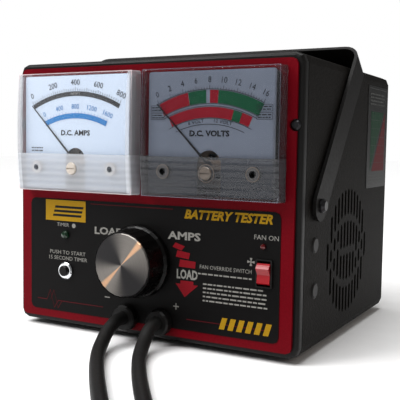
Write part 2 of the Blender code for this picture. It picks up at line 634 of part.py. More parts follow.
def build_pile():
    x, z = KNOB_AXIS
    bore = SHAFT_R + 0.0005
    press = solid("pressure_plate", [square(PRESS_W, PRESS_BACK, PRESS_BACK + PRESS_T)],
                  "#77797c", 0.4, 1.0, origin=(x, back(PRESS_BACK), z))
    fuse(press, cylinder("Y", KNOB_AXIS, 0.012, back(PRESS_BACK - 0.0085), back(PRESS_BACK + 0.001)))
    cut(press, cylinder("Y", KNOB_AXIS, bore, back(PRESS_BACK - 0.02), back(PRESS_BACK - 0.0005)))

    pitch = PLATE_T + GAP
    pile = solid("carbon_pile", [square(PLATE_W - 0.003, PILE_BACK + 0.0005, PILE_END - 0.0005)],
                 "#232325", 0.6)
    fuse(pile, *[square(PLATE_W, PILE_BACK + k * pitch, PILE_BACK + k * pitch + PLATE_T)
                 for k in range(PLATE_COUNT)])

    rear = PILE_END + CONTACT_T + 3 * GAP
    frame = solid("pile_frame", [square(END_PLATE_W, END_PLATE_BACK, END_PLATE_BACK + END_PLATE_T)],
                  "#7d7f82", 0.4, 1.0)
    fuse(frame, square(END_PLATE_W, rear, rear + END_PLATE_T),
         cylinder("Y", KNOB_AXIS, 0.0105, back(0.016), back(END_PLATE_BACK + 0.001)))
    fuse(frame, *[cylinder("Y", (x + sx * ROD_OFFSET, z + sz * ROD_OFFSET), ROD_R,
                           back(END_PLATE_BACK + 0.001), back(rear + END_PLATE_T - 0.001), 16)
                  for sx in (-1, 1) for sz in (-1, 1)])
    low, high = up(WALL + GAP), z - END_PLATE_W / 2 + 0.002
    fuse(frame, *[box((x + s * 0.040 - 0.006, back(y), low), (x + s * 0.040 + 0.006,
                      back(y + END_PLATE_T - 0.0004), high))
                  for s in (-1, 1) for y in (END_PLATE_BACK + 0.0002, rear + 0.0002)])
    cut(frame, cylinder("Y", KNOB_AXIS, bore, back(0.01), back(END_PLATE_BACK + END_PLATE_T + 0.005)))


SHUNT_Y0, SHUNT_Y1 = 0.076, 0.146


def bus_strap(cx, line):
    """A copper strap that runs front to back and turns up; line is its middle, (y, z)."""
    return extrude(strip([(back(y), up(z)) for y, z in line], CONTACT_T), "X",
                   cx - STRAP_W / 2, cx + STRAP_W / 2)


def build_bus():
    left, right = GLAND_X
    low = STRAP_Z + CONTACT_T / 2
    front = CONTACT_BACK + CONTACT_T / 2
    rear = PILE_END + GAP + CONTACT_T / 2
    trim = 0.0002

    def lug(x):
        return box((x - 0.006, back(0.0163), up(STRAP_Z + 0.0005)),
                   (x + 0.006, back(0.0250), up(GLAND_Z + 0.006)))

    bus = solid("front_bus_bar", [bus_strap(left, [(0.017, low), (front, low), (front, 0.040)])],
                "#9c5b36", 0.4, 1.0)
    fuse(bus, square(PLATE_W, CONTACT_BACK + trim, CONTACT_BACK + CONTACT_T - trim))
    fuse(bus, lug(left))
    bus = solid("rear_bus_bar", [bus_strap(right, [(SHUNT_Y1, low), (rear, low), (rear, 0.040)])],
                "#9c5b36", 0.4, 1.0)
    fuse(bus, square(PLATE_W, PILE_END + GAP + trim, PILE_END + GAP + CONTACT_T - trim))

    half = STRAP_W / 2 - 0.0005
    ends = [(SHUNT_Y0 + GAP, SHUNT_Y0 + 0.014), (SHUNT_Y1 - 0.014, SHUNT_Y1 - GAP)]
    shunt = solid("shunt", [bus_strap(right, [(0.017, low), (SHUNT_Y0 + 0.002, low)])],
                  "#a8823f", 0.4, 1.0)
    fuse(shunt, *[box((right - half, back(a), up(STRAP_Z - 0.005)),
                      (right + half, back(b), up(STRAP_Z + 0.006))) for a, b in ends])
    fuse(shunt, *[box((right + k * 0.0052 - 0.0006, back(SHUNT_Y0 + 0.010), up(STRAP_Z - 0.003)),
                      (right + k * 0.0052 + 0.0006, back(SHUNT_Y1 - 0.010), up(STRAP_Z + 0.004)))
                  for k in (-1, 0, 1)])
    fuse(shunt, lug(right))


# ---------------------------------------------------------------- controls

def build_controls():
    face = PANEL_FRONT + OVERLAY_T + 0.0001 + GAP
    button = (BUTTON_X, up(BUTTON_Z))
    bore = PLUNGER_R + PLAY
    switch = solid("timer_switch", [turned(
        [(0, out(face + 0.0026)), (RING_R - 0.0012, out(face + 0.0026)),
         (RING_R, out(face + 0.0014)), (RING_R, out(face)), (0.0063, out(face)),
         (0.0063, back(0.001)), (0, back(0.001))], "Y", button, 20)], "#b9babc", 0.15, 1.0)
    fuse(switch, box((BUTTON_X - 0.010, back(0.0005), up(BUTTON_Z) - 0.010),
                     (BUTTON_X + 0.010, back(SWITCH_BOX_D), up(BUTTON_Z) + 0.010)))
    cut(switch, cylinder("Y", button, bore, out(0.02), back(0.004 + BUTTON_TRAVEL + 0.001)))
    head = face + 0.0052
    rest = (BUTTON_X, out(head), up(BUTTON_Z))
    solid("timer_plunger", [turned(
        [(0, out(head)), (PLUNGER_R - 0.0008, out(head)), (PLUNGER_R, out(head - 0.0008)),
         (PLUNGER_R, back(0.004)), (0, back(0.004))], "Y", button, 16)], "#0e0e0f", 0.4, origin=rest)

    def lamp(name, x, z, radius, neck, reach, colour):
        solid(name, [turned([(0, out(face + reach)), (radius * 0.6, out(face + reach - radius * 0.2)),
                             (radius * 0.9, out(face + reach - radius * 0.6)),
                             (radius * 0.98, out(face + 0.001)), (radius, out(face)),
                             (neck, out(face)), (neck, back(0.009)), (0, back(0.009))],
                            "Y", (x, up(z)), 16)], colour, 0.2)

    lamp("timer_lamp", TIMER_LAMP_X, TIMER_LAMP_Z, TIMER_LAMP_R, TIMER_LAMP_R - 0.0006, 0.0045,
         "#0f5f2c")
    lamp("fan_lamp", FAN_LAMP_X, FAN_LAMP_Z, FAN_LAMP_R, FAN_LAMP_R - 0.0003, 0.0032, "#7a0c10")

    centre = up(ROCKER_Z)
    room = ROCKER_R + 2 * PLAY
    frame_w, frame_h = ROCKER_W + 0.0034, 2 * room + 0.0020
    bezel = solid("rocker_bezel", [extrude(
        rounded_rect(ROCKER_X, centre, frame_w, frame_h, 0.001), "Y", out(face + 0.0016), out(face))],
        "#111112", 0.4)
    fuse(bezel, extrude(rounded_rect(ROCKER_X, centre, ROCKER_W + 0.0018, 2 * room + 0.0008, 0.0005),
                        "Y", out(face + 0.0006), back(SWITCH_BOX_D)))
    cut(bezel, box((ROCKER_X - ROCKER_W / 2 - PLAY, out(0.02), centre - room),
                   (ROCKER_X + ROCKER_W / 2 + PLAY, back(0.004), centre + room)))
    ends = arc(0, 0, ROCKER_R, 20, 52, 3)       # about the pivot, (z, towards the front)
    outline = [*ends, (0, 0.0056), *[(-z, t) for z, t in ends[::-1]], (-0.003, -0.0015),
               (0.003, -0.0015)]
    rocker = solid("rocker", [extrude([(-t, z) for z, t in outline], "X", -ROCKER_W / 2, ROCKER_W / 2)],
                   "#8c1216", 0.35)
    turned_about(rocker, place=(ROCKER_X, out(0), centre), angles=(math.radians(ROCKER_TILT), 0, 0))


# ---------------------------------------------------------------- fan and board

def build_fan():
    outer = CASE_W / 2 - WALL - 2 * GAP
    inner = outer - FAN_T
    centre = (back(FAN_Y), up(FAN_Z))
    frame = solid("fan_frame", [extrude(rounded_rect(*centre, FAN_W, FAN_W, 0.006), "X",
                                        inner, outer)], "#1a1a1b", 0.5)
    cut(frame, cylinder("X", centre, FAN_BORE_R, inner - 0.01, outer + 0.01, 32))
    fuse(frame, *[extrude([(centre[0] + u * c - v * s, centre[1] + u * s + v * c)
                           for u, v in ((0.010, -0.002), (FAN_BORE_R + 0.001, -0.002),
                                        (FAN_BORE_R + 0.001, 0.002), (0.010, 0.002))],
                          "X", inner + 0.0002, inner + 0.003)
                  for c, s in ((1, 0), (0, 1), (-1, 0), (0, -1))])
    fuse(frame, cylinder("X", centre, HUB_R, inner + 0.0004, inner + 0.0034, 24))
    hub = (inner + 0.0040, outer - 0.0015)
    fan = solid("fan_impeller", [cylinder("X", (0, 0), HUB_R, hub[0] - outer, hub[1] - outer, 20)],
                "#202022", 0.5)
    blades = []
    mid = (hub[0] + hub[1]) / 2 - outer
    for k in range(BLADES):
        a = 2 * math.pi * k / BLADES
        rings = []
        for r, pitch, chord in ((HUB_R - 0.002, 50, 0.016), (0.038, 40, 0.021), (BLADE_R, 30, 0.024)):
            p = math.radians(pitch)
            ring = []
            for along, thick in ((-1, -1), (1, -1), (1, 1), (-1, 1)):
                u, w = along * chord / 2, thick * 0.0008
                x = u * math.sin(p) + w * math.cos(p)
                side = u * math.cos(p) - w * math.sin(p)
                ring.append((mid + x, r * math.cos(a) - side * math.sin(a),
                             r * math.sin(a) + side * math.cos(a)))
            rings.append(ring)
        blades.append(loft(rings))
    fuse(fan, *blades, own_frame=True)
    turned_about(fan, place=(outer, *centre))


def build_board():
    """The timer board stands on spacers inside the left wall, above the vent."""
    wall = -(CASE_W / 2 - WALL)
    y0, z0 = back(0.070), up(0.150)
    face = wall + STANDOFF_L
    board = solid("circuit_board", [box((face + GAP, y0, z0),
                                        (face + GAP + BOARD_T, y0 + BOARD_L, z0 + BOARD_H))],
                  "#1f4a2b", 0.5)
    fuse(board, *[box((face + BOARD_T, y0 + u, z0 + v), (face + BOARD_T + h, y0 + u + w, z0 + v + w))
                  for u, v, w, h in ((0.014, 0.014, 0.018, 0.014), (0.044, 0.022, 0.020, 0.005),
                                     (0.074, 0.030, 0.012, 0.018))])
    bracket = solid("board_bracket", [box((wall + GAP, y0, z0), (wall + 0.0015, y0 + BOARD_L,
                                                                z0 + BOARD_H))], "#a9aaad", 0.3, 1.0)
    fuse(bracket, *[cylinder("X", (y0 + u, z0 + v), 0.003, wall + 0.001, face, 12)
                    for u in (0.006, BOARD_L - 0.006) for v in (0.006, BOARD_H - 0.006)])


# ---------------------------------------------------------------- handle

def build_handle():
    """Modelled upright about its pivot: arms along +Z, strap width along Y."""
    outer = CASE_W / 2 + WASHER_T + 2 * GAP + STRAP_T
    line = STRAP_WIDE / 2

    def band(inset):
        x, top, bend = outer - inset, HANDLE_L - inset, HANDLE_BEND - inset
        return [(x, -0.03), *arc(x - bend, top - bend, bend, 0, 90, 6),
                *arc(bend - x, top - bend, bend, 90, 180, 6), (-x, -0.03)]

    handle = solid("handle", [extrude(band(0) + band(STRAP_T)[::-1], "Y", -line - 0.005,
                                      line + 0.005)], "#1b1a1a", 0.35, 0.6)
    side = [*arc(0, 0, line, 180, 360, 10), (line, HANDLE_L + 0.01), (-line, HANDLE_L + 0.01)]
    join(handle, [extrude(side, "X", -outer - 0.01, outer + 0.01)], "INTERSECT", own_frame=True)
    cut(handle, *[cylinder("X", (0, 0), BOLT_R + PLAY, *sorted((s * (outer - 0.02), s * (outer + 0.02))))
                  for s in (-1, 1)], own_frame=True)
    turned_about(handle, place=(0, back(HANDLE_Y), up(HANDLE_Z)),
                 angles=(-math.radians(HANDLE_LEAN), 0, 0))

    pivot = (back(HANDLE_Y), up(HANDLE_Z))
    for s, side in SIDES:
        head, face = outer + GAP, CASE_W / 2 + GAP
        profile = [(0, head + BOLT_HEAD_T), (BOLT_HEAD_R - 0.002, head + BOLT_HEAD_T),
                   (BOLT_HEAD_R, head + 0.0015), (BOLT_HEAD_R, head), (BOLT_R, head),
                   (BOLT_R, face + WASHER_T), (WASHER_R, face + WASHER_T), (WASHER_R, face),
                   (BOLT_R, face), (BOLT_R, face - 0.010), (0, face - 0.010)]
        solid("pivot_bolt_" + side, [turned([(r, s * x) for r, x in profile], "X", pivot, 16)],
              "#3c3c3d", 0.3, 0.9)


# ---------------------------------------------------------------- leads and clamps

def build_glands():
    face = PANEL_FRONT + OVERLAY_T + 0.0001 + GAP
    bore = LEAD_R + PLAY
    for x, (_, side) in zip(GLAND_X, SIDES):
        solid("cable_gland_" + side, [turned(
            [(bore, out(GLAND_OUT)), (GLAND_R - 0.0015, out(GLAND_OUT)),
             (GLAND_R, out(GLAND_OUT - 0.0015)), (GLAND_R, out(face)), (GLAND_BODY_R, out(face)),
             (GLAND_BODY_R, back(GAP)), (NUT_R, back(GAP)), (NUT_R, back(GAP + NUT_T)),
             (GLAND_BODY_R, back(GAP + NUT_T)), (GLAND_BODY_R, back(0.008)), (bore, back(0.008))],
            "Y", (x, up(GLAND_Z)), 16)], "#161616", 0.5)


# Chosen points of each lead, from inside its bushing to the outermost turn of its coil
LEFT_ROUTE = (
    (-0.0174, -0.0970, 0.0215), (-0.0174, -0.1250, 0.0215), (-0.0178, -0.1330, 0.0208),
    (-0.0168, -0.1415, 0.0186), (-0.0150, -0.1515, 0.0148), (-0.0106, -0.1630, 0.0109),
    (-0.0020, -0.1803, 0.0076), (0.0103, -0.1994, 0.0062), (0.0160, -0.2074, 0.0060),
    (0.0330, -0.2297, 0.0060), (0.0516, -0.2531, 0.0060), (0.0700, -0.2754, 0.0060),
    (0.0980, -0.3093, 0.0060))
RIGHT_ROUTE = (
    (0.0186, -0.0970, 0.0215), (0.0186, -0.1250, 0.0215), (0.0186, -0.1310, 0.0202),
    (0.0188, -0.1365, 0.0176), (0.0200, -0.1420, 0.0146), (0.0223, -0.1490, 0.0112),
    (0.0286, -0.1631, 0.0080), (0.0389, -0.1817, 0.0063), (0.0442, -0.1899, 0.0060),
    (0.0600, -0.2130, 0.0060), (0.0776, -0.2371, 0.0060), (0.0952, -0.2600, 0.0060),
    (0.1339, -0.3103, 0.0060))
LEFT_COIL, LEFT_IN, LEFT_OUT = (0.0690, -0.3903), 39.9, -125.0
RIGHT_COIL, RIGHT_IN, RIGHT_OUT = (0.2197, -0.3005), 217.6, 4.0
TAIL_HIGH = 3 * LEAD_R - 0.0005
TAIL_STEPS = ((0.0, TAIL_HIGH), (0.030, TAIL_HIGH), (0.060, TAIL_HIGH), (0.076, 0.0158), (0.090, 0.0123),
              (0.100, 0.0110))          # distance from the last turn, height


def tail_of(centre, leave, sense):
    """Where the inner turn leaves its coil: its place, its way, and the tail's points."""
    inner = COIL_OUTER - 2 * LEAD_R * COIL_TURNS
    a = math.radians(leave)
    start = Vector((centre[0] + inner * math.cos(a), centre[1] + inner * math.sin(a), 0))
    way = Vector((-sense * math.sin(a), sense * math.cos(a), 0))
    return way, [start + way * far + Vector((0, 0, height)) for far, height in TAIL_STEPS]


def build_lead(name, route, centre, leave, sense, colour):
    """Lead as tubes up to and after its coil, the coil as a flat ring; returns the tail."""
    way, tail = tail_of(centre, leave, sense)
    curve = bpy.data.curves.new(name, "CURVE")
    curve.dimensions = "3D"
    curve.bevel_depth, curve.bevel_resolution, curve.use_fill_caps = LEAD_R, 1, True
    places = smooth([Vector(p) for p in route], 5 * LEAD_R)
    spline = curve.splines.new("POLY")
    spline.points.add(len(places) - 1)
    for point, place in zip(spline.points, places):
        point.co = (*place, 1.0)
    lead = bpy.data.objects.new(name, curve)
    OBJECT.objects.link(lead)
    finish(lead, colour, 0.5)

    outer = COIL_OUTER + LEAD_R
    inner = COIL_OUTER - 2 * LEAD_R * COIL_TURNS - LEAD_R
    chamfer, top = LEAD_R * 0.5, 2 * LEAD_R
    coil = solid(name + "_coil", [turned(
        [(inner + chamfer, 0), (outer - chamfer, 0), (outer, chamfer), (outer, top - chamfer),
         (outer - chamfer, top), (inner + chamfer, top), (inner, top - chamfer), (inner, chamfer)],
        "Z", centre, 28)], colour, 0.5)
    side = Vector((-way.y, way.x, 0))
    fuse(coil, loft([[place + side * u + Vector((0, 0, v)) for u, v in circle(0, 0, LEAD_R, 8)]
                     for place in smooth(tail, 3 * LEAD_R)]))
    return way, tail[-1]


GRIP_END, GRIP_WIDE, WAIST = 0.082, 0.0285, 0.009      # of one clamp half, from its pivot


def jaw_line(side):
    """Middle of a half's strip, from grip to tip, on one side of the clamp's centre line."""
    return [(-GRIP_END, side * GRIP_WIDE), (-0.008, side * WAIST), (0.008, side * WAIST),
            (0.024, side * 0.0130), (0.044, side * 0.0115), (0.060, side * 0.0016)]


def clamp_half(name, side, lug_z, colour):
    half = solid(name, [extrude(strip(jaw_line(side), JAW_T), "Z", 0, CLAMP_H)], colour, 0.4, 0.6)
    lugs = []
    for z in lug_z:
        lug = arc(0, 0, LUG_R, 180, 360, 10) if side > 0 else arc(0, 0, LUG_R, 0, 180, 10)
        edge = side * (WAIST + 0.0002)
        lug += [(-lug[0][0], edge), (lug[0][0], edge)]
        lugs.append(extrude(lug, "Z", z, z + LUG_T))
    fuse(half, *lugs, own_frame=True)
    return half


def build_clamp(name, way, entry, fixed_side, colour):
    """A spring clamp lying on its side; its fixed half carries the lead's end."""
    lean = math.atan2(GRIP_WIDE - WAIST, GRIP_END - 0.008)
    yaw = math.atan2(way.y, way.x) + fixed_side * lean
    seat = Vector((-GRIP_END, fixed_side * (GRIP_WIDE - JAW_T / 2 - BARREL_CRIMP_R + 0.0006), 0))
    turn = Vector((math.cos(yaw), math.sin(yaw), 0))
    side_way = Vector((-turn.y, turn.x, 0))
    along = Vector((way.x, way.y, 0)) * GAP
    pivot = Vector((entry.x, entry.y, 0)) + along - turn * seat.x - side_way * seat.y
    holder = bpy.data.objects.new(name, None)
    holder.location, holder.rotation_euler = pivot, (0, 0, yaw)
    OBJECT.objects.link(holder)

    outer = [0.0010, CLAMP_H - 0.0010 - LUG_T]
    inner = [0.0010 + LUG_T + GAP, CLAMP_H - 0.0010 - 2 * LUG_T - GAP]
    fixed = clamp_half(name + "_fixed_jaw", fixed_side, outer, colour)
    angle = -fixed_side * lean
    ring = []
    for far in (0.0, 0.022):
        place = seat + Vector((math.cos(angle), math.sin(angle), 0)) * far
        ring.append([(place.x - u * math.sin(angle), place.y + u * math.cos(angle), CLAMP_H / 2 + v)
                     for u, v in circle(0, 0, BARREL_CRIMP_R, 16)])
    fuse(fixed, loft(ring), own_frame=True)
    moving = clamp_half(name + "_moving_jaw", -fixed_side, inner, colour)
    cut(moving, cylinder("Z", (0, 0), PIN_R + PLAY, -0.01, CLAMP_H + 0.01, 16), own_frame=True)
    fuse(fixed, cylinder("Z", (0, 0), PIN_R, outer[0] - 0.0005, outer[1] + LUG_T + 0.0005, 16),
         own_frame=True)
    low, high = inner[0] + LUG_T + GAP, inner[1] - GAP
    spring = solid(name + "_spring", [turned(
        [(PIN_R + PLAY, low), (0.0058, low), (0.0058, high), (PIN_R + PLAY, high)],
        "Z", (0, 0), 20)], "#77787a", 0.35, 1.0)
    fuse(spring, *[extrude(strip([(-0.002, s * 0.0045), (-0.012, s * 0.0070), (-0.030, s * 0.0120)],
                                 0.0018), "Z", z, z + 0.0018)
                   for s, z in ((-1, low + 0.0004), (1, high - 0.0022))], own_frame=True)
    for piece in (fixed, moving, spring):
        turned_about(piece, holder)


def build_leads():
    way, entry = build_lead("lead_left", LEFT_ROUTE, LEFT_COIL, LEFT_OUT, -1, "#111111")
    build_clamp("clamp_left", way, entry, -1, "#1c1c1d")
    way, entry = build_lead("lead_right", RIGHT_ROUTE, RIGHT_COIL, RIGHT_OUT, 1, "#111111")
    build_clamp("clamp_right", way, entry, 1, "#7c1216")


clear_scene()
OBJECT = collection("battery_tester")
CUTTERS = collection("cutters", rendered=False)
build_case()
build_side_trim()
build_panel()
build_meter("amps", -METER_X)
build_meter("volts", METER_X)
build_knob()
build_pile()
build_bus()
build_controls()
build_fan()
build_board()
build_handle()
build_glands()
build_leads()
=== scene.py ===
"""Portable battery load tester: finishes, printed scales and lettering, cover screws and load leads."""
import json
import math
import random

import bmesh
import bpy
from mathutils import Matrix, Vector


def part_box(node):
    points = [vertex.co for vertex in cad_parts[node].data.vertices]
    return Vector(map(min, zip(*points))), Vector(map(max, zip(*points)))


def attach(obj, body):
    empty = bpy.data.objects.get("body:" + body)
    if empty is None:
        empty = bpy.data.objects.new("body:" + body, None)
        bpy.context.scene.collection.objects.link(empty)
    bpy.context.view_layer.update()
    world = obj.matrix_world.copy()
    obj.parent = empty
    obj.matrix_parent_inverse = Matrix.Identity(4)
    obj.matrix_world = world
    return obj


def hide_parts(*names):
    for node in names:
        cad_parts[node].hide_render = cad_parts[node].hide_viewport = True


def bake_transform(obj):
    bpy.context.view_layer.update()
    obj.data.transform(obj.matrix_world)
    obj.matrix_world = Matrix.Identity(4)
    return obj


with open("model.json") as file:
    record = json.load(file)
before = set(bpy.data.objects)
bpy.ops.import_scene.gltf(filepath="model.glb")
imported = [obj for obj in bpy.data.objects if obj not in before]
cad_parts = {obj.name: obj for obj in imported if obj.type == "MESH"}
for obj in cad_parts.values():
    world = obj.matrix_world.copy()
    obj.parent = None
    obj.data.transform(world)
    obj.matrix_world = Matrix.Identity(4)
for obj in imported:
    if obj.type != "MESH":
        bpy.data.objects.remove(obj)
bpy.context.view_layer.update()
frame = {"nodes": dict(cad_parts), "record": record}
nodes = frame["nodes"]

RIM_Y = -0.113              # front plane of the case
UNDERSIDE = 0.005           # the case's underside, on its feet
METER_X = 0.070
DIAL_T, OVERLAY_T = 0.0135, 0.0035
ARC_Z = 0.1175              # middle of the printed scales
LEAD_R = 0.006
COIL_R, COIL_TURNS = 0.074, 1.36
COIL_GAP = 0.0001           # between two turns of a coil
CROSSING = 0.0115           # how far a lead rises to cross over its own coil
CLIMB = 0.080               # along the lead, from the bench to that height
BAND_TOP = 0.1690           # top of a cover's ribbed band
WALL_IN = 0.0598            # from a meter's middle to the inner face of its cover's wall
SOFT = 0.0006               # over which a band's edge fades
RIB_PITCH = 0.005922        # of the ribbed band
CLOUDS, DUST = 14.0, 9.0    # scales of the uneven shade, 7 cm and 11 cm across
BOSS_T, BEAD_T = 0.0181, 0.0172     # in front of the rim: the painted highlights on the bosses' cut ends and on the covers' bead


def placed(name, data):
    """A new object in the scene."""
    piece = bpy.data.objects.new(name, data)
    bpy.context.scene.collection.objects.link(piece)
    return piece


def final_mesh(holder):
    """What an object's modifiers or curve settings make of it; the object itself is removed."""
    bpy.context.view_layer.update()
    mesh = bpy.data.meshes.new_from_object(holder.evaluated_get(bpy.context.evaluated_depsgraph_get()))
    bpy.data.objects.remove(holder)
    return mesh


# ---------------------------------------------------------------- finishes

def linear(code):
    """An sRGB hex colour as linear RGBA."""
    parts = [int(code[i:i + 2], 16) / 255 for i in (1, 3, 5)]
    return [p / 12.92 if p <= 0.04045 else ((p + 0.055) / 1.055) ** 2.4 for p in parts] + [1.0]


def add(tree, kind, settings=None, sockets=None):
    """One node with its settings; a socket's value is a number, a colour or another node's output."""
    node = tree.nodes.new(kind)
    for name, value in (settings or {}).items():
        setattr(node, name, value)
    for name, value in (sockets or {}).items():
        if isinstance(value, bpy.types.NodeSocket):
            tree.links.new(value, node.inputs[name])
        else:
            node.inputs[name].default_value = value
    return node


def start_finish(name):
    material = bpy.data.materials.new(name)
    material.use_nodes = True
    tree = material.node_tree
    tree.nodes.clear()
    return material, tree, add(tree, "ShaderNodeTexCoord").outputs["Object"]


def end_finish(material, tree, shader):
    add(tree, "ShaderNodeOutputMaterial", {}, {"Surface": shader})
    return material


def coated(name, low, high, grain, rough, relief=0.0, metal=0.0, wear=0.08, extra=None):
    """A paint, moulding or plating: two close shades in grains of that size in metres, with their relief."""
    material, tree, place = start_finish(name)
    grains = add(tree, "ShaderNodeTexNoise", {}, {
        "Vector": place, "Scale": 1 / grain, "Detail": 4.0, "Roughness": 0.6})
    broad = add(tree, "ShaderNodeTexNoise", {}, {"Vector": place, "Scale": CLOUDS, "Detail": 3.0})
    share = add(tree, "ShaderNodeMath", {"operation": "MULTIPLY"}, {0: broad.outputs["Fac"], 1: 0.45})
    both = add(tree, "ShaderNodeMath", {"operation": "MULTIPLY_ADD"},
               {0: grains.outputs["Fac"], 1: 0.55, 2: share.outputs[0]})
    even = add(tree, "ShaderNodeMapRange", {}, {"Value": both.outputs[0], "From Min": 0.35, "From Max": 0.65})
    shade = add(tree, "ShaderNodeMix", {"data_type": "RGBA"}, {0: even.outputs[0], 6: linear(low), 7: linear(high)})
    gloss = add(tree, "ShaderNodeMapRange", {}, {"Value": both.outputs[0], "From Min": 0.3, "From Max": 0.7,
                                                 "To Min": rough - wear, "To Max": rough + wear})
    sockets = {"Base Color": shade.outputs[2], "Roughness": gloss.outputs[0], "Metallic": metal}
    if relief:
        sockets["Normal"] = add(tree, "ShaderNodeBump", {}, {"Height": grains.outputs["Fac"], "Distance": relief,
                                                            "Strength": 0.6}).outputs[0]
    sockets.update(extra or {})
    return end_finish(material, tree, add(tree, "ShaderNodeBsdfPrincipled", {}, sockets).outputs[0])


def crackle_enamel():
    """Black wrinkle enamel baked on sheet steel: a pebbled skin, its grains 2 mm across, greying in the light."""
    material, tree, place = start_finish("black_crackle_enamel")
    cells = add(tree, "ShaderNodeTexVoronoi", {"feature": "SMOOTH_F1"}, {
        "Vector": place, "Scale": 1 / 0.0019, "Smoothness": 0.8})
    fine = add(tree, "ShaderNodeTexNoise", {}, {"Vector": place, "Scale": 1 / 0.0024, "Detail": 5.0, "Roughness": 0.7})
    dusty = add(tree, "ShaderNodeTexNoise", {}, {"Vector": place, "Scale": DUST, "Detail": 4.0})
    skin = add(tree, "ShaderNodeMath", {"operation": "ADD"}, {0: cells.outputs["Distance"], 1: fine.outputs["Fac"]})
    tone = add(tree, "ShaderNodeMapRange", {}, {"Value": skin.outputs[0], "From Min": 0.5, "From Max": 1.2})
    dust = add(tree, "ShaderNodeMapRange", {}, {
        "Value": dusty.outputs["Fac"], "From Min": 0.4, "From Max": 0.7, "To Max": 0.35})
    base = add(tree, "ShaderNodeMix", {"data_type": "RGBA"}, {
        0: tone.outputs[0], 6: linear("#080706"), 7: linear("#151311")})
    worn = add(tree, "ShaderNodeMix", {"data_type": "RGBA"}, {
        0: dust.outputs[0], 6: base.outputs[2], 7: linear("#1a1816")})
    relief = add(tree, "ShaderNodeBump", {}, {"Height": skin.outputs[0], "Distance": 0.0004, "Strength": 0.5})
    return end_finish(material, tree, add(tree, "ShaderNodeBsdfPrincipled", {}, {
        "Base Color": worn.outputs[2], "Roughness": 0.6, "Specular IOR Level": 0.06,
        "Normal": relief.outputs[0]}).outputs[0])


def middle_of(node):
    """The middle of a node's box."""
    low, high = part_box(node)
    return tuple((a + b) / 2 for a, b in zip(low, high))


def spun_aluminium():
    """Aluminium disc turned on a lathe: fine rings, and two soft bright fans and a warm glint painted into its colour
    as highlights, set by the angle round the hub.
    """
    material, tree, place = start_finish("spun_aluminium")
    hub = add(tree, "ShaderNodeMapping", {"vector_type": "POINT"}, {
        "Vector": place, "Location": tuple(-v for v in middle_of("knob_disc"))})
    axes = add(tree, "ShaderNodeSeparateXYZ", {}, {"Vector": hub.outputs[0]})
    angle = add(tree, "ShaderNodeMath", {"operation": "ARCTAN2"}, {0: axes.outputs["Z"], 1: axes.outputs["X"]})
    # painted highlight: brightness set by the angle round the hub, two broad fans with a ripple
    twice = add(tree, "ShaderNodeMath", {"operation": "MULTIPLY_ADD"}, {0: angle.outputs[0], 1: 2.0, 2: -1.60})
    fan = add(tree, "ShaderNodeMath", {"operation": "COSINE"}, {0: twice.outputs[0]})
    thrice = add(tree, "ShaderNodeMath", {"operation": "MULTIPLY_ADD"}, {0: angle.outputs[0], 1: 3.0, 2: 1.1})
    ripple = add(tree, "ShaderNodeMath", {"operation": "COSINE"}, {0: thrice.outputs[0]})
    mixed = add(tree, "ShaderNodeMath", {"operation": "MULTIPLY_ADD"}, {
        0: ripple.outputs[0], 1: 0.35, 2: fan.outputs[0]})
    painted_fans = add(tree, "ShaderNodeMapRange", {"interpolation_type": "SMOOTHSTEP"},
                {"Value": mixed.outputs[0], "From Min": -0.9, "From Max": 1.2})
    # painted highlight: a narrow warm glint along the brightest line of the fans
    painted_glint = add(tree, "ShaderNodeMapRange", {"interpolation_type": "SMOOTHSTEP"},
                {"Value": fan.outputs[0], "From Min": 0.955, "From Max": 1.0, "To Max": 0.75})
    flat = add(tree, "ShaderNodeCombineXYZ", {}, {"X": axes.outputs["X"], "Z": axes.outputs["Z"]})
    far = add(tree, "ShaderNodeVectorMath", {"operation": "LENGTH"}, {0: flat.outputs[0]})
    rings = add(tree, "ShaderNodeTexNoise", {"noise_dimensions": "1D"}, {
        "W": far.outputs["Value"], "Scale": 1 / 0.0006, "Detail": 3.0})
    grey = add(tree, "ShaderNodeMix", {"data_type": "RGBA"}, {
        0: painted_fans.outputs[0], 6: linear("#2e2d2e"), 7: linear("#85807b")})
    tint = add(tree, "ShaderNodeMix", {"data_type": "RGBA"}, {
        0: painted_glint.outputs[0], 6: grey.outputs[2], 7: linear("#f2bd92")})
    lines = add(tree, "ShaderNodeMapRange", {}, {"Value": rings.outputs["Fac"], "From Min": 0.3, "From Max": 0.7,
                                                 "To Min": 0.82, "To Max": 1.0})
    darker = add(tree, "ShaderNodeCombineColor", {}, {i: lines.outputs[0] for i in range(3)})
    base = add(tree, "ShaderNodeMix", {"data_type": "RGBA", "blend_type": "MULTIPLY"}, {
        0: 1.0, 6: tint.outputs[2], 7: darker.outputs[0]})
    relief = add(tree, "ShaderNodeBump", {}, {"Height": rings.outputs["Fac"], "Distance": 0.00004, "Strength": 0.5})
    return end_finish(material, tree, add(tree, "ShaderNodeBsdfPrincipled", {}, {
        "Base Color": base.outputs[2], "Metallic": 0.85, "Roughness": 0.34, "Normal": relief.outputs[0]}).outputs[0])


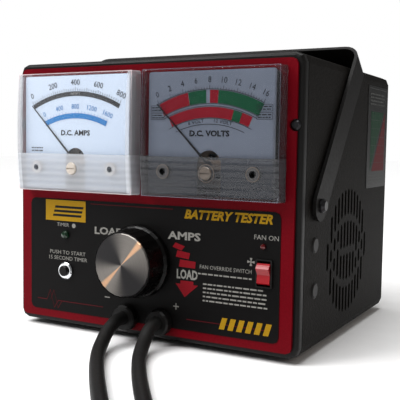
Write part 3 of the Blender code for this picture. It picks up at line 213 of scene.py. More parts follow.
def clear_acrylic(name, tint, haze, milk, wall):
    """Moulded clear acrylic cover: see-through with bright edges painted in as highlights, the pale cover more opaque
    at grazing angles and in its walls; its lower band is finely ribbed and milky.
    """
    material, tree, place = start_finish(name)
    axes = add(tree, "ShaderNodeSeparateXYZ", {}, {"Vector": place})
    band = add(tree, "ShaderNodeMapRange", {}, {"Value": axes.outputs["Z"], "From Min": BAND_TOP,
                                               "From Max": BAND_TOP + SOFT, "To Min": 1.0, "To Max": 0.0})
    # at scale 1 a wave texture goes through 20 radians in a metre
    ribs = add(tree, "ShaderNodeTexWave", {"bands_direction": "Z", "wave_profile": "SIN"},
               {"Vector": place, "Scale": math.tau / 20 / RIB_PITCH})
    ribbed = add(tree, "ShaderNodeMath", {"operation": "MULTIPLY"}, {0: ribs.outputs["Fac"], 1: band.outputs[0]})
    # painted highlight: more of the pale cover shows towards grazing angles and in the walls
    edge = add(tree, "ShaderNodeLayerWeight", {}, {"Blend": 0.25})
    rim = add(tree, "ShaderNodeMath", {"operation": "MULTIPLY_ADD"}, {
        0: edge.outputs["Facing"], 1: 0.42, 2: haze})
    milky = add(tree, "ShaderNodeMath", {"operation": "MULTIPLY_ADD"}, {
        0: band.outputs[0], 1: milk, 2: rim.outputs[0]})
    cover = add(tree, "ShaderNodeMath", {"operation": "MULTIPLY_ADD", "use_clamp": True},
                {0: ribbed.outputs[0], 1: 0.10, 2: milky.outputs[0]})
    across = add(tree, "ShaderNodeMath", {"operation": "ABSOLUTE"}, {0: axes.outputs["X"]})
    off = add(tree, "ShaderNodeMath", {"operation": "SUBTRACT"}, {0: across.outputs[0], 1: METER_X})
    side = add(tree, "ShaderNodeMath", {"operation": "ABSOLUTE"}, {0: off.outputs[0]})
    strip = add(tree, "ShaderNodeMapRange", {}, {
        "Value": side.outputs[0], "From Min": WALL_IN, "From Max": WALL_IN + SOFT, "To Max": wall})
    cover = add(tree, "ShaderNodeMath", {"operation": "ADD", "use_clamp": True}, {
        0: cover.outputs[0], 1: strip.outputs[0]})
    relief = add(tree, "ShaderNodeBump", {}, {"Height": ribbed.outputs[0], "Distance": 0.0003, "Strength": 0.7})
    return end_finish(material, tree, add(tree, "ShaderNodeBsdfPrincipled", {}, {
        "Base Color": linear(tint), "Roughness": 0.10, "IOR": 1.49, "Specular IOR Level": 0.35,
        "Alpha": cover.outputs[0], "Normal": relief.outputs[0]}).outputs[0])


def lens(name, deep, lit):
    """Faceted cast lens over a small lamp: saturated, with a painted highlight that makes it paler at its crown."""
    material, tree, place = start_finish(name)
    facing = add(tree, "ShaderNodeLayerWeight", {}, {"Blend": 0.4})
    grain = add(tree, "ShaderNodeTexVoronoi", {}, {"Vector": place, "Scale": 1 / 0.0012})
    mixed = add(tree, "ShaderNodeMath", {"operation": "MULTIPLY_ADD"},
                {0: grain.outputs["Distance"], 1: 0.5, 2: facing.outputs["Facing"]})
    tint = add(tree, "ShaderNodeMix", {"data_type": "RGBA"}, {0: mixed.outputs[0], 6: linear(lit), 7: linear(deep)})
    return end_finish(material, tree, add(tree, "ShaderNodeBsdfPrincipled", {}, {
        "Base Color": tint.outputs[2], "Roughness": 0.15, "IOR": 1.5, "Coat Weight": 0.5}).outputs[0])


FINISHES = {
    "case_paint": crackle_enamel(),
    # baked gloss enamel on the rim: nearly black, orange-peel under 2 mm
    "bezel_paint": coated("black_rim_enamel", "#050404", "#0b0a09", 0.0018, 0.40, 0.00008,
                          extra={"Specular IOR Level": 0.18}),
    # red enamel on the sheet panel: deep and even, with slight orange peel
    "panel_red": coated("deep_red_enamel", "#5a020c", "#680411", 0.0020, 0.42, 0.00006, wear=0.05,
                        extra={"Specular IOR Level": 0.05}),
    # screen-printed polycarbonate film: black with a fine matt tooth
    "overlay_black": coated("black_printed_film", "#040303", "#090808", 0.0009, 0.50, 0.00004, wear=0.04,
                            extra={"Specular IOR Level": 0.10}),
    # printed foil: flat black, smoother than the enamel round it
    "label_paper": coated("black_foil_label", "#060606", "#0c0c0c", 0.0012, 0.40, 0.00003,
                          extra={"Specular IOR Level": 0.15}),
    # black oxide strap: satin, rubbed grey in patches by the hand
    "strap_black": coated("black_oxide_strap", "#090807", "#141211", 0.0030, 0.48, 0.00005,
                          extra={"Specular IOR Level": 0.1}),
    # screws and small iron parts: blackened, so they shine grey
    "dark_steel": coated("black_oxide_steel", "#19191b", "#2d2d30", 0.0008, 0.34, 0.00003, metal=0.7),
    # bright zinc: pale grey with a soft shine
    "plain_steel": coated("zinc_plated_steel", "#8d9094", "#a9abad", 0.0015, 0.34, 0.00003, metal=1.0),
    # moulded acrylic, the lit copy: nearly unseen but for its walls, where a highlight is painted
    "clear_cover": clear_acrylic("clear_acrylic", "#c4c7cd", 0.01, 0.34, 0.34),
    # fine-textured moulding: an even dull black
    "black_plastic": coated("moulded_black_abs", "#080707", "#100f0e", 0.0007, 0.45, 0.00004, wear=0.05,
                            extra={"Specular IOR Level": 0.2}),
    # compression-moulded phenolic: glossy black with faint swirls
    "gloss_black": coated("gloss_black_phenolic", "#030202", "#070606", 0.0030, 0.28, 0.00001, wear=0.04,
                          extra={"Specular IOR Level": 0.15}),
    "spun_aluminium": spun_aluminium(),
    # moulded carbon plates: matt, with a dark grey grain
    "carbon": coated("pressed_carbon", "#17171a", "#29292c", 0.0011, 0.62, 0.00006),
    # drawn bar, a little tarnished: warm, with long soft marks
    "copper": coated("drawn_copper_bar", "#a85c38", "#c37a52", 0.0040, 0.30, 0.00002, metal=1.0),
    # rolled resistance alloy: dull straw grey
    "shunt_metal": coated("manganin_strip", "#8f8474", "#a89b88", 0.0030, 0.33, 0.00002, metal=1.0),
    # bright chrome on the button's bushing
    "chrome": coated("bright_chrome", "#c9ccd0", "#dcdee0", 0.0060, 0.10, metal=1.0, wear=0.03),
    "green_lens": lens("green_cast_lens", "#041a0d", "#0b3019"),
    "red_lens": lens("red_cast_lens", "#2a0405", "#5c0b0e"),
    # smooth red moulding: the brightest colour on the front
    "rocker_red": coated("moulded_red_abs", "#8c0813", "#9e0f1b", 0.0010, 0.32, 0.00002, wear=0.03),
    # glossy resist over copper tracks
    "board_green": coated("green_solder_mask", "#12502c", "#1c6739", 0.0020, 0.32, 0.00003),
    # moulded rubber: matt, greyed by dust
    "foot_rubber": coated("grey_black_rubber", "#141414", "#222222", 0.0012, 0.72, 0.00008),
    # extruded rubber jacket: matt, dusty along its length
    "lead_rubber": coated("black_rubber_jacket", "#090808", "#151413", 0.0022, 0.58, 0.00008,
                          extra={"Specular IOR Level": 0.25}),
    # handles dipped in vinyl: soft, with slow waves in the coat
    "clamp_black": coated("black_dipped_vinyl", "#151516", "#232324", 0.0014, 0.40, 0.00006),
    "clamp_red": coated("red_dipped_vinyl", "#7e1015", "#971a1e", 0.0014, 0.38, 0.00006),
}
# painted aluminium dials in lit and shaded copies of one enamel: cool white with painted light where the light falls
# on it, grey with painted shade under the shaded cover
FINISHES["amps_face"] = coated("dial_enamel_lit_copy", "#c0cfe4", "#ccdaec", 0.0016, 0.45, 0.00002)
FINISHES["volts_face"] = coated("dial_enamel_shaded_copy", "#5c6474", "#646c7c", 0.0016, 0.45, 0.00002)
# moulded frame of the movement, warm against the dial
FINISHES["movement_frame"] = coated("tan_moulded_frame", "#8d7560", "#a98f78", 0.0022, 0.45, 0.00004)
# the same acrylic as a darker copy, with painted shade
FINISHES["shaded_cover"] = clear_acrylic("acrylic_shaded_copy", "#3f4043", 0.02, 0.40, 0.20)
# acrylic details that catch the light, in lit and shaded copies: painted highlights, clear on the lit meter and duller
# with painted shade on the shaded one
FINISHES["amps_adjuster"] = coated("moulded_screw_lit_copy", "#a89c90", "#cdc4ba", 0.0010, 0.2, 0.00002)
FINISHES["volts_adjuster"] = coated("moulded_screw_shaded_copy", "#4f4740", "#6a6058", 0.0010, 0.2, 0.00002)
# pale rings painted as highlights on the bosses' cut ends, for the lit meter
FINISHES["amps_boss"] = coated("boss_rim_painted_highlight", "#c6c2bf", "#dfdcda", 0.0010, 0.25, 0.00002)
# the covers' bead as a pale painted highlight, bright on the lit meter and dimmer on the shaded one
FINISHES["amps_bead"] = coated("bead_painted_highlight", "#c9b4b8", "#dccbce", 0.0020, 0.2, extra={"Alpha": 0.75})
FINISHES["volts_bead"] = coated("bead_dim_painted_highlight", "#5d5a68", "#6d6a78", 0.0020, 0.2, extra={"Alpha": 0.6})
# a dimmer copy of the painted highlight rings, for the shaded meter
FINISHES["volts_boss"] = coated("boss_rim_dim_painted_highlight", "#5a5654", "#6f6b68", 0.0010, 0.25, 0.00002)

for entry in frame["record"]["subparts"]:
    part = nodes[entry["node"]]
    slot_name = entry["material_slot"]
    finish = FINISHES.get(slot_name, FINISHES["amps_face"])
    # the volts dial and cover take the darker copies, painted shade
    if entry["node"] == "volts_dial":
        finish = FINISHES["volts_face"]
    if entry["node"] == "volts_cover":
        finish = FINISHES["shaded_cover"]
    # each adjuster takes its meter's copy: lit on the amps meter, painted shade on the volts one
    if entry["node"].endswith("zero_screw"):
        finish = FINISHES[entry["node"].split("_")[0] + "_adjuster"]
    if entry["node"].endswith("_movement"):
        finish = FINISHES["movement_frame"]
    if entry["node"].endswith("_needle"):
        finish = FINISHES["black_plastic"]
    part.data.materials.clear()
    part.data.materials.append(finish)


# ---------------------------------------------------------------- printed work

FRONT = Matrix(((1, 0, 0, 0), (0, 0, -1, 0), (0, 1, 0, 0), (0, 0, 0, 1)))       # a sheet facing forward
RIGHT = Matrix(((0, 0, 1, 0), (1, 0, 0, 0), (0, 1, 0, 0), (0, 0, 0, 1)))        # a sheet facing right


def patch(sheet, *corners):
    """A flat patch on a sheet, its corners anticlockwise."""
    sheet.faces.new([sheet.verts.new((x, z, 0)) for x, z in corners])


def block(sheet, x0, z0, x1, z1, lean=0.0):
    patch(sheet, (x0, z0), (x1, z0), (x1 + lean * (z1 - z0), z1), (x0 + lean * (z1 - z0), z1))


def arc(sheet, middle, low, high, start, end, steps=28):
    """A curved band; its ends in degrees from straight up, clockwise."""
    turns = [math.radians(start + (end - start) * i / steps) for i in range(steps + 1)]
    inner = [sheet.verts.new((middle[0] + low * math.sin(a), middle[1] + low * math.cos(a), 0)) for a in turns]
    outer = [sheet.verts.new((middle[0] + high * math.sin(a), middle[1] + high * math.cos(a), 0)) for a in turns]
    for i in range(steps):
        sheet.faces.new((inner[i], inner[i + 1], outer[i + 1], outer[i]))


def box_line(sheet, x0, z0, x1, z1, wide):
    block(sheet, x0, z0, x1, z0 + wide)
    block(sheet, x0, z1 - wide, x1, z1)
    block(sheet, x0, z0 + wide, x0 + wide, z1 - wide)
    block(sheet, x1 - wide, z0 + wide, x1, z1 - wide)


def words(sheet, text, x, z, tall, turn=0.0, wide=1.0, lean=0.0, bold=0.0):
    """Plain figures or letters centred on a place, turned clockwise by that many degrees."""
    curve = bpy.data.curves.new("lettering", "FONT")
    curve.body, curve.size, curve.resolution_u = text, tall / 0.70, 2
    curve.align_x, curve.align_y, curve.shear, curve.offset = "CENTER", "CENTER", lean, bold
    letters = final_mesh(placed("lettering", curve))
    letters.transform(Matrix.Translation((x, z, 0)) @ Matrix.Rotation(-math.radians(turn), 4, "Z")
                      @ Matrix.Diagonal((wide, 1, 1, 1)))
    sheet.from_mesh(letters)
    bpy.data.meshes.remove(letters)


def text_line(sheet, rng, x0, x1, z, tall):
    """A line of small print as a row of worn, word-long bars."""
    x = x0
    while x < x1 - 2 * tall:
        far = min(x + rng.uniform(1.4, 5.0) * tall, x1)
        block(sheet, x, z, far, z + tall)
        x = far + 0.8 * tall


def press(sheet, name, ink, level, way=FRONT):
    """Lays a sheet on the case at that level and leaves it as a piece of its own."""
    mesh = bpy.data.meshes.new(name)
    sheet.to_mesh(mesh)
    sheet.free()
    shift = Vector((0, level, 0)) if way is FRONT else Vector((level, 0, 0))
    mesh.transform(Matrix.Translation(shift) @ way)
    mesh.materials.append(ink)
    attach(placed(name, mesh), "case")


def ink(name, low, high, rough=0.55):
    """Screen ink: a little uneven, as it is where it wears."""
    return coated(name, low, high, 0.0011, rough, wear=0.04, extra={"Specular IOR Level": 0.1})


INKS = {
    "black": ink("black_scale_ink", "#0e0f11", "#17181b"), "blue": ink("blue_scale_ink", "#0668ac", "#0f78bd"),
    "red": ink("red_scale_ink", "#6f0617", "#7c0c1e"), "green": ink("green_scale_ink", "#063c26", "#0b4a30"),
    "grey": ink("grey_scale_ink", "#1d2024", "#2d3136"), "white": ink("white_panel_ink", "#74726e", "#8b8984"),
    "yellow": ink("yellow_panel_ink", "#8f6c0c", "#a37d14"), "panel_red": ink("red_panel_ink", "#6d0913", "#7c0e1a"),
    "faint_red": ink("thin_red_line_ink", "#3f070d", "#4c0a11"),
    "label_red": ink("red_label_ink", "#4c0b10", "#560f14"),
    "label_green": ink("green_label_ink", "#0a2c1b", "#103723"),
    "pale": ink("pale_label_ink", "#454645", "#525351"),
}


def dial_level(step):
    """Just in front of a dial, each step nearer to its cover."""
    return RIM_Y - DIAL_T - 0.0002 - 0.00005 * step


def amps_scale():
    middle = (-METER_X, ARC_Z)
    black, blue, grey, pale = bmesh.new(), bmesh.new(), bmesh.new(), bmesh.new()
    arc(black, middle, 0.1050, 0.1092, -27.5, 27.5)
    arc(blue, middle, 0.0845, 0.0893, -24.0, 24.0)
    for i in range(41):
        turn = -27.0 + 54.0 * i / 40
        arc(black, middle, 0.1092, 0.1118 if i % 5 else 0.1128, turn - 0.10, turn + 0.10, 1)
        if i % 2 == 0:
            arc(blue, middle, 0.0893, 0.0910, (turn - 0.12) * 0.87, (turn + 0.12) * 0.87, 1)
    for i in range(5):
        turn = math.radians(-26.0 + 13.0 * i)
        words(grey, str(200 * i), middle[0] + 0.1168 * math.sin(turn), middle[1] + 0.1172 * math.cos(turn), 0.0052,
              math.degrees(turn), 0.95)
        turn = math.radians(-22.4 + 11.2 * i)
        words(blue, str(400 * i), middle[0] + 0.0952 * math.sin(turn), middle[1] + 0.0952 * math.cos(turn), 0.0046,
              math.degrees(turn), 0.92)
    words(pale, "AMPS", middle[0], middle[1] + 0.1071, 0.0026, 0, 1.25)
    words(black, "D.C. AMPS", middle[0], UNDERSIDE + 0.1835, 0.0046, 0, 1.12, bold=0.00022)
    rng = random.Random(4)
    for row in range(2):
        text_line(grey, rng, middle[0] - 0.052, middle[0] - 0.036, UNDERSIDE + 0.1690 - 0.0026 * row, 0.0010)
    for sheet, name, colour, step in ((black, "amps_black_scale", "black", 0), (blue, "amps_blue_scale", "blue", 1),
                                      (grey, "amps_figures", "grey", 2), (pale, "amps_band_word", "white", 3)):
        press(sheet, name, INKS[colour], dial_level(step))


def volts_scale():
    middle = (METER_X, ARC_Z)
    red, green, grey, black = bmesh.new(), bmesh.new(), bmesh.new(), bmesh.new()
    for sheet, start, end in ((red, -27.0, -11.2), (green, -11.0, -1.8), (red, 0.2, 4.5), (green, 4.7, 27.5)):
        arc(sheet, middle, 0.0968, 0.1075, start, end, 14)
    arc(red, middle, 0.0848, 0.0935, -25.0, 14.0, 24)
    arc(green, middle, 0.0848, 0.0935, 14.0, 19.0, 6)
    arc(red, middle, 0.0848, 0.0935, 19.0, 25.0, 6)
    for radius in (0.0961, 0.1080, 0.0841, 0.0941):
        arc(black, middle, radius, radius + 0.00045, -27.5, 27.5)
    arc(black, middle, 0.0790, 0.0795, -24, 24)
    for i in range(41):
        turn = -27.0 + 54.0 * i / 40
        arc(black, middle, 0.1080, 0.1100 if i % 5 else 0.1115, turn - 0.10, turn + 0.10, 1)
    for i in range(9):
        turn = math.radians(-26.0 + 6.5 * i)
        words(grey, str(2 * i), middle[0] + 0.1158 * math.sin(turn), middle[1] + 0.1158 * math.cos(turn), 0.0050,
              math.degrees(turn), 0.92)
    words(black, "D.C. VOLTS", middle[0], UNDERSIDE + 0.1838, 0.0046, 0, 1.12, bold=0.00022)
    words(black, "6 VOLT", middle[0] - 0.0125, middle[1] + 0.0809, 0.0030, -9, 1.1)
    words(black, "12 VOLT", middle[0] + 0.0125, middle[1] + 0.0809, 0.0030, 9, 1.1)
    rng = random.Random(9)
    for side in (-1, 1):
        x = middle[0] + side * 0.0500
        for low in (0.1955, 0.2020):
            box_line(black, x - 0.0070, UNDERSIDE + low, x + 0.0070, UNDERSIDE + low + 0.0056, 0.0003)
            for row in range(2):
                text_line(grey, rng, x - 0.0060, x + 0.0060, UNDERSIDE + low + 0.0012 + 0.0021 * row, 0.0009)
    for sheet, name, colour, step in ((red, "volts_red_bands", "red", 0), (green, "volts_green_bands", "green", 1),
                                      (grey, "volts_figures", "grey", 2), (black, "volts_rings", "black", 3)):
        press(sheet, name, INKS[colour], dial_level(step))


def panel_print():
    white, yellow, red, thin, shade = (bmesh.new() for _ in range(5))
    rng = random.Random(21)
    up = lambda z: UNDERSIDE + z
    # fine lines that frame the controls, and a pulse running into the lower one
    block(thin, -0.060, up(0.1176), 0.030, up(0.1184))
    block(thin, -0.124, up(0.0218), -0.112, up(0.0226))
    block(thin, -0.098, up(0.0218), -0.045, up(0.0226))
    block(thin, 0.045, up(0.0218), 0.124, up(0.0226))
    for shift in (0.0, 0.0045):
        for x0, z0, x1, z1 in ((-0.112, 0.0223, -0.108, 0.0320), (-0.108, 0.0320, -0.103, 0.0150),
                               (-0.103, 0.0150, -0.098, 0.0223)):
            patch(thin, (x0 + shift, up(z0 - 0.0006)), (x1 + shift, up(z1 - 0.0006)), (x1 + shift, up(z1 + 0.0006)),
                  (x0 + shift, up(z0 + 0.0006)))
    # plain badge, heading and closing bars
    block(yellow, -0.1135, up(0.1000), -0.0655, up(0.1198))
    for row in (0.1042, 0.1082, 0.1122):
        block(shade, -0.1060 + 0.3 * (row - 0.1), up(row), -0.0720 + 0.3 * (row - 0.1), up(row + 0.0022), 0.3)
    words(yellow, "BATTERY TESTER", 0.0828, up(0.1142), 0.0074, 0, 1.02, 0.28, 0.00042)
    for i in range(6):
        block(yellow, 0.0770 + 0.0082 * i, up(0.0178), 0.0820 + 0.0082 * i, up(0.0280), 0.3)
    # words and signs round the load knob
    words(white, "LOAD", -0.0385, up(0.0933), 0.0064, 0, 1.35, 0, 0.0003)
    words(white, "AMPS", 0.0418, up(0.0948), 0.0066, 0, 1.42, 0, 0.0003)
    words(white, "+", 0.0343, up(0.0317), 0.0085)
    words(white, "−", -0.0400, up(0.0315), 0.0085)
    # broken arrow that sweeps down past the knob, widening, with its word in the gap
    patch(red, (0.0300, up(0.0850)), (0.0390, up(0.0822)), (0.0425, up(0.0862)), (0.0330, up(0.0890)))
    patch(red, (0.0335, up(0.0765)), (0.0465, up(0.0752)), (0.0478, up(0.0806)), (0.0350, up(0.0823)))
    patch(red, (0.0368, up(0.0680)), (0.0530, up(0.0676)), (0.0535, up(0.0735)), (0.0378, up(0.0745)))
    patch(red, (0.0385, up(0.0530)), (0.0515, up(0.0530)), (0.0515, up(0.0560)), (0.0385, up(0.0560)))
    patch(red, (0.0335, up(0.0530)), (0.0430, up(0.0416)), (0.0562, up(0.0530)))
    words(white, "LOAD", 0.0450, up(0.0612), 0.0078, 0, 0.70, 0, 0.0004)
    # lamp, button and switch captions
    words(white, "TIMER", -0.0925, up(0.0962), 0.0034, 0, 1.1)
    arc(white, (-0.0795, up(0.0960)), 0.0, 0.0022, 0, 360, 16)
    words(white, "PUSH TO START", -0.0870, up(0.0695), 0.0036, 0, 1.15)
    words(white, "15 SECOND TIMER", -0.0870, up(0.0640), 0.0036, 0, 1.1)
    words(white, "FAN ON", 0.1195, up(0.0992), 0.0040, 0, 1.05)
    words(white, "FAN OVERRIDE SWITCH", 0.0822, up(0.0697), 0.0034, 0, 0.94)
    text_line(white, rng, 0.0560, 0.1070, up(0.0632), 0.0013)
    arc(white, (0.1060, up(0.0783)), 0.0, 0.0008, 0, 360, 10)
    for i in range(4):
        arc(white, (0.1060, up(0.0783)), 0.0008, 0.0034, 90 * i - 18, 90 * i + 22, 5)
    for row in range(5):
        text_line(white, rng, 0.0610, 0.1235 + rng.uniform(-0.003, 0.0), up(0.0545 - 0.0036 * row), 0.0013)
    level = RIM_Y - OVERLAY_T - 0.0001
    press(white, "panel_white_print", INKS["white"], level)
    press(yellow, "panel_yellow_print", INKS["yellow"], level - 0.00005)
    press(red, "panel_red_print", INKS["panel_red"], level)
    press(thin, "panel_thin_lines", INKS["faint_red"], level)
    press(shade, "badge_bars", INKS["black"], level - 0.0001)


def side_label_print():
    pale, green, red = bmesh.new(), bmesh.new(), bmesh.new()
    rng = random.Random(33)
    rear = lambda d: RIM_Y + d
    box_line(pale, rear(0.1785), UNDERSIDE + 0.1355, rear(0.2435), UNDERSIDE + 0.2345, 0.0005)
    for row in range(4):
        end = rear(0.2390) - rng.uniform(0, 0.008)
        text_line(pale, rng, rear(0.1830), end, UNDERSIDE + 0.2280 - 0.0034 * row, 0.0013)
    left, right, low, high = rear(0.1870), rear(0.2385), UNDERSIDE + 0.1500, UNDERSIDE + 0.2110
    patch(green, (left, low), (right - 0.006, high), (left, high))
    patch(red, (left + 0.006, low), (right, low), (right, high))
    for i in range(1, 7):
        z = low + (high - low) * i / 7
        block(pale, left, z, right, z + 0.0003)
        y = left + (right - left) * i / 7
        block(pale, y, low, y + 0.0003, high)
    for row in range(3):
        text_line(pale, rng, rear(0.1830), rear(0.2390), UNDERSIDE + 0.1385 + 0.0033 * row, 0.0012)
    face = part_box("info_label")[1][0]
    press(green, "label_green_field", INKS["label_green"], face + 0.0001, RIGHT)
    press(red, "label_red_field", INKS["label_red"], face + 0.0001, RIGHT)
    press(pale, "label_pale_print", INKS["pale"], face + 0.0002, RIGHT)


BOSS_X, BOSS_Z = 0.0424, UNDERSIDE + 0.1513


def boss_rims():
    """The bright cut ends of the covers' screw bosses and the ring round each adjuster, seen through the ribs: pale
    rings of painted highlight, each edged by a thin dark ring of painted shade.
    """
    for name in ("amps", "volts"):
        x, _, z = middle_of(name + "_zero_screw")
        sheet, shade = bmesh.new(), bmesh.new()
        for side in (-1, 1):
            arc(sheet, (x + side * BOSS_X, BOSS_Z), 0.0031, 0.0056, 0, 360, 24)
            arc(shade, (x + side * BOSS_X, BOSS_Z), 0.0056, 0.0061, 0, 360, 24)
        arc(sheet, (x, z), 0.0062, 0.0071, 0, 360, 24)
        arc(shade, (x, z), 0.0071, 0.0077, 0, 360, 24)
        # a thin dark ring of painted shade round each pale ring, in the movement frame's finish
        press(shade, name + "_boss_shade", FINISHES["movement_frame"], RIM_Y - BOSS_T + 0.0001)
        press(sheet, name + "_boss_rims", FINISHES[name + "_boss"], RIM_Y - BOSS_T)


def cover_beads():
    """The moulded bead round the front edge of each cover, drawn as a pale sheet of painted highlight that stays
    bright all round.
    """
    for name in ("amps", "volts"):
        low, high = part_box(name + "_cover")
        sheet = bmesh.new()
        box_line(sheet, low[0] + 0.0010, low[2] + 0.0006, high[0] - 0.0010, high[2] - 0.0006, 0.0007)
        press(sheet, name + "_cover_bead", FINISHES[name + "_bead"], RIM_Y - BEAD_T)


boss_rims()
cover_beads()
amps_scale()
volts_scale()
panel_print()
side_label_print()


# ---------------------------------------------------------------- cover screws

def screw_head():
    """A slotted pan head, facing forward, its middle at the origin."""
    head = bmesh.new()
    outline = [(0.0, 0.0012), (0.0012, 0.00115), (0.0020, 0.0008), (0.0024, 0.0002), (0.0024, -0.0006),
               (0.0, -0.0006)]
    line = [head.verts.new((r, -y, 0)) for r, y in outline]
    for a, b in zip(line, line[1:]):
        head.edges.new((a, b))
    bmesh.ops.spin(head, geom=head.verts[:] + head.edges[:], cent=(0, 0, 0), axis=(0, 1, 0), angle=math.tau,
                   steps=24, use_duplicate=False)
    bmesh.ops.remove_doubles(head, verts=head.verts, dist=1e-6)
    bmesh.ops.recalc_face_normals(head, faces=head.faces)
    mesh = bpy.data.meshes.new("screw_head")
    head.to_mesh(mesh)
    head.free()
    mesh.shade_smooth()
    piece = placed("screw_head", mesh)
    slot = bmesh.new()
    bmesh.ops.create_cube(slot, size=1.0, matrix=Matrix.Translation((0, -0.0012, 0))
                          @ Matrix.Diagonal((0.006, 0.0012, 0.0007, 1)))
    cutter_mesh = bpy.data.meshes.new("screw_slot")
    slot.to_mesh(cutter_mesh)
    slot.free()
    cutter = placed("screw_slot", cutter_mesh)
    notch = piece.modifiers.new("slot", "BOOLEAN")
    notch.object, notch.operation, notch.solver = cutter, "DIFFERENCE", "EXACT"
    done = final_mesh(piece)
    bpy.data.objects.remove(cutter)
    return placed("screw_head", done)


def cover_screws():
    """Four screws, one in each boss of the two covers, set out by a node tree."""
    head = screw_head()
    tree = bpy.data.node_groups.new("cover_screws", "GeometryNodeTree")
    for name, kind in (("Places", "NodeSocketGeometry"), ("Head", "NodeSocketObject"), ("Spread", "NodeSocketFloat"),
                       ("Finish", "NodeSocketMaterial")):
        tree.interface.new_socket(name, in_out="INPUT", socket_type=kind)
    tree.interface.new_socket("Screws", in_out="OUTPUT", socket_type="NodeSocketGeometry")
    given = add(tree, "NodeGroupInput")
    turned = add(tree, "FunctionNodeRandomValue", {"data_type": "FLOAT"}, {3: given.outputs["Spread"], "Seed": 3})
    spin = add(tree, "ShaderNodeCombineXYZ", {}, {"Y": turned.outputs[1]})
    shape = add(tree, "GeometryNodeObjectInfo", {}, {"Object": given.outputs["Head"]})
    set_out = add(tree, "GeometryNodeInstanceOnPoints", {}, {
        "Points": given.outputs["Places"], "Instance": shape.outputs["Geometry"], "Rotation": spin.outputs[0]})
    real = add(tree, "GeometryNodeRealizeInstances", {}, {"Geometry": set_out.outputs[0]})
    coat = add(tree, "GeometryNodeSetMaterial", {}, {
        "Geometry": real.outputs[0], "Material": given.outputs["Finish"]})
    add(tree, "NodeGroupOutput", {}, {"Screws": coat.outputs[0]})

    places = bpy.data.meshes.new("cover_screws")
    places.from_pydata([(side * METER_X + hand * BOSS_X, RIM_Y - 0.0100, BOSS_Z)
                        for side in (-1, 1) for hand in (-1, 1)], [], [])
    holder = placed("cover_screws", places)
    setting = holder.modifiers.new("screws", "NODES")
    setting.node_group = tree
    values = {"Head": head, "Spread": 3.1, "Finish": FINISHES["gloss_black"]}
    for item in tree.interface.items_tree:
        if item.in_out == "INPUT" and item.name in values:
            setting[item.identifier] = values[item.name]
    mesh = final_mesh(holder)
    bpy.data.objects.remove(head)
    piece = placed("cover_screws", mesh)
    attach(piece, "case")


cover_screws()


# ---------------------------------------------------------------- load leads

LEFT_ROUTE = ((-0.0174, -0.0970, 0.0215), (-0.0174, -0.1250, 0.0215), (-0.0178, -0.1330, 0.0208),
              (-0.0168, -0.1415, 0.0186), (-0.0150, -0.1515, 0.0148), (-0.0106, -0.1630, 0.0109),
              (-0.0020, -0.1803, 0.0076), (0.0103, -0.1994, 0.0062), (0.0160, -0.2074, 0.0060),
              (0.0330, -0.2297, 0.0060), (0.0516, -0.2531, 0.0060), (0.0700, -0.2754, 0.0060),
              (0.0980, -0.3093, 0.0060))
RIGHT_ROUTE = ((0.0186, -0.0970, 0.0215), (0.0186, -0.1250, 0.0215), (0.0186, -0.1310, 0.0202),
               (0.0188, -0.1365, 0.0176), (0.0200, -0.1420, 0.0146), (0.0223, -0.1490, 0.0112),
               (0.0286, -0.1631, 0.0080), (0.0389, -0.1817, 0.0063), (0.0442, -0.1899, 0.0060),
               (0.0600, -0.2130, 0.0060), (0.0776, -0.2371, 0.0060), (0.0952, -0.2600, 0.0060),
               (0.1339, -0.3103, 0.0060))
TAIL = ((0.030, 0.0175), (0.060, 0.0175), (0.076, 0.0158), (0.090, 0.0123), (0.100, 0.0110))


def torsion_spring(side, pivot, yaw):
    """The clamp's spring: four and a half turns round the pin and a leg against each handle."""
    wire, turn_r, low, high = 0.0009, 0.0047, 0.0062, 0.0158
    line = [(-0.0300, -0.0120, low), (-0.0200, -0.0095, low), (-0.0120, -0.0072, low), (-0.0050, -0.0052, low)]
    for i in range(73):
        a = math.radians(-90 + 1620 * i / 72)
        line.append((turn_r * math.cos(a), turn_r * math.sin(a), low + (high - low) * i / 72))
    line += [(-0.0050, 0.0052, high), (-0.0120, 0.0072, high), (-0.0200, 0.0095, high), (-0.0300, 0.0120, high)]
    curve = bpy.data.curves.new("spring_wire", "CURVE")
    curve.dimensions, curve.bevel_depth, curve.bevel_resolution, curve.use_fill_caps = "3D", wire, 2, True
    spline = curve.splines.new("POLY")
    spline.points.add(len(line) - 1)
    for point, place in zip(spline.points, line):
        point.co = (*place, 1)
    mesh = final_mesh(placed("spring_wire", curve))
    seat = Matrix.Translation((*pivot, 0)) @ Matrix.Rotation(math.radians(yaw), 4, "Z")
    mesh.transform(seat)
    mesh.shade_smooth()
    mesh.materials.clear()
    mesh.materials.append(FINISHES["plain_steel"])
    piece = placed("clamp_" + side + "_torsion_spring", mesh)
    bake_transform(piece)
    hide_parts("clamp_" + side + "_spring")
    return piece


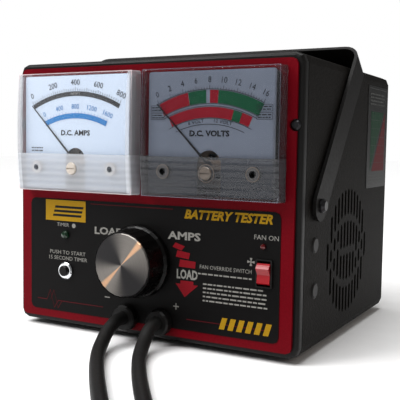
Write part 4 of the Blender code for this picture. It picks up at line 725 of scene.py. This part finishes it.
def lead(side, route, middle, enter, leave, sense, spring):
    """One lead: from its gland down to the bench, once and a half round a flat coil, then over it to its clamp."""
    places = [Vector(p) for p in route]
    sweep = 360 + (sense * (leave - enter)) % 360
    inner = COIL_R - 2 * LEAD_R * COIL_TURNS
    steps = 36
    climb = math.degrees(CLIMB / inner)
    for i in range(steps + 1):
        swept = sweep * i / steps
        a = math.radians(enter + sense * swept)
        radius = max(inner, COIL_R - (2 * LEAD_R + COIL_GAP) * swept / 360)
        rise = max(0.0, 1 - (sweep - swept) / climb)
        height = LEAD_R + CROSSING * rise * rise * (3 - 2 * rise)
        places.append(Vector((middle[0] + radius * math.cos(a), middle[1] + radius * math.sin(a), height)))
    a = math.radians(leave)
    last = Vector((middle[0] + inner * math.cos(a), middle[1] + inner * math.sin(a), 0))
    way = Vector((-sense * math.sin(a), sense * math.cos(a), 0))
    places += [last + way * far + Vector((0, 0, height)) for far, height in TAIL]

    curve = bpy.data.curves.new("lead_" + side + "_cable", "CURVE")
    curve.dimensions, curve.bevel_depth, curve.bevel_resolution = "3D", LEAD_R, 4
    curve.use_fill_caps, curve.resolution_u = True, 5
    spline = curve.splines.new("BEZIER")
    spline.bezier_points.add(len(places) - 1)
    for point, place in zip(spline.bezier_points, places):
        point.co = place
        point.handle_left_type = point.handle_right_type = "AUTO"
    curve.materials.append(FINISHES["lead_rubber"])
    piece = placed("lead_" + side + "_cable", curve)
    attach(piece, "case")
    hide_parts("lead_" + side, "lead_" + side + "_coil")


lead("left", LEFT_ROUTE, (0.0690, -0.3903), 39.9, -125.0, -1,
     torsion_spring("left", (-0.114939, -0.330729), 130.237))
lead("right", RIGHT_ROUTE, (0.2197, -0.3005), 217.6, 4.0, 1,
     torsion_spring("right", (0.263373, -0.112152), 108.763))


# ---------------------------------------------------------------- bench, light and camera

def bench():
    """A plain pale bench under the feet."""
    mesh = bpy.data.meshes.new("bench")
    mesh.from_pydata([(-6, -6, 0), (6, -6, 0), (6, 9, 0), (-6, 9, 0)], [], [(0, 1, 2, 3)])
    mesh.materials.append(coated("pale_bench_laminate", "#f6f6f6", "#fafafa", 0.02, 0.7))
    placed("bench", mesh)


def soft_light(name, place, aim, size, power, tint="#ffffff"):
    lamp = bpy.data.lights.new(name, "AREA")
    lamp.shape, lamp.size, lamp.energy, lamp.color = "DISK", size, power, linear(tint)[:3]
    holder = placed(name, lamp)
    holder.location = place
    holder.rotation_euler = (Vector(aim) - Vector(place)).to_track_quat("-Z", "Y").to_euler()


def studio():
    """A white room: one softbox from the left front, a weak warm one from the right, and even light from above."""
    world = bpy.context.scene.world or bpy.data.worlds.new("studio")
    bpy.context.scene.world = world
    world.use_nodes = True
    world.node_tree.nodes.clear()
    seen = add(world.node_tree, "ShaderNodeLightPath")
    # a white backdrop to the camera, and a dim sky to everything it lights
    level = add(world.node_tree, "ShaderNodeMapRange", {}, {
        "Value": seen.outputs["Is Camera Ray"], "To Min": 0.18, "To Max": 1.0})
    sky = add(world.node_tree, "ShaderNodeBackground", {}, {
        "Color": linear("#ffffff"), "Strength": level.outputs[0]})
    add(world.node_tree, "ShaderNodeOutputWorld", {}, {"Surface": sky.outputs[0]})
    soft_light("front_softbox", (-1.1, -1.3, 1.6), (0, 0, 0.10), 1.2, 36)
    soft_light("side_softbox", (1.8, 0.4, 1.2), (0.1, 0, 0.10), 1.0, 4, "#fff2e4")
    overhead = bpy.data.lights.new("overhead", "SUN")
    overhead.energy, overhead.angle = 3.1, math.radians(50)
    placed("overhead", overhead).rotation_euler = (math.radians(14), math.radians(-8), 0)
    bpy.context.scene.view_settings.view_transform = "Standard"


def camera():
    """A long lens at the right front, near the height of the handle, turned down by four degrees."""
    eye = bpy.data.cameras.new("camera")
    eye.lens, eye.sensor_width, eye.clip_start = 66.56, 36.0, 0.02
    yaw, pitch, roll = (math.radians(v) for v in (28.9007, -4.3212, 0.8688))
    ahead = Vector((-math.sin(yaw) * math.cos(pitch), math.cos(yaw) * math.cos(pitch), math.sin(pitch)))
    right = Vector((math.cos(yaw), math.sin(yaw), 0))
    upward = right.cross(ahead)
    across = math.cos(roll) * right + math.sin(roll) * upward
    above = -math.sin(roll) * right + math.cos(roll) * upward
    holder = placed("camera", eye)
    holder.matrix_world = Matrix.Translation((0.36204, -0.66945, 0.18013)) @ Matrix(
        (across, above, -ahead)).transposed().to_4x4()
    bpy.context.scene.camera = holder


bench()
studio()
camera()
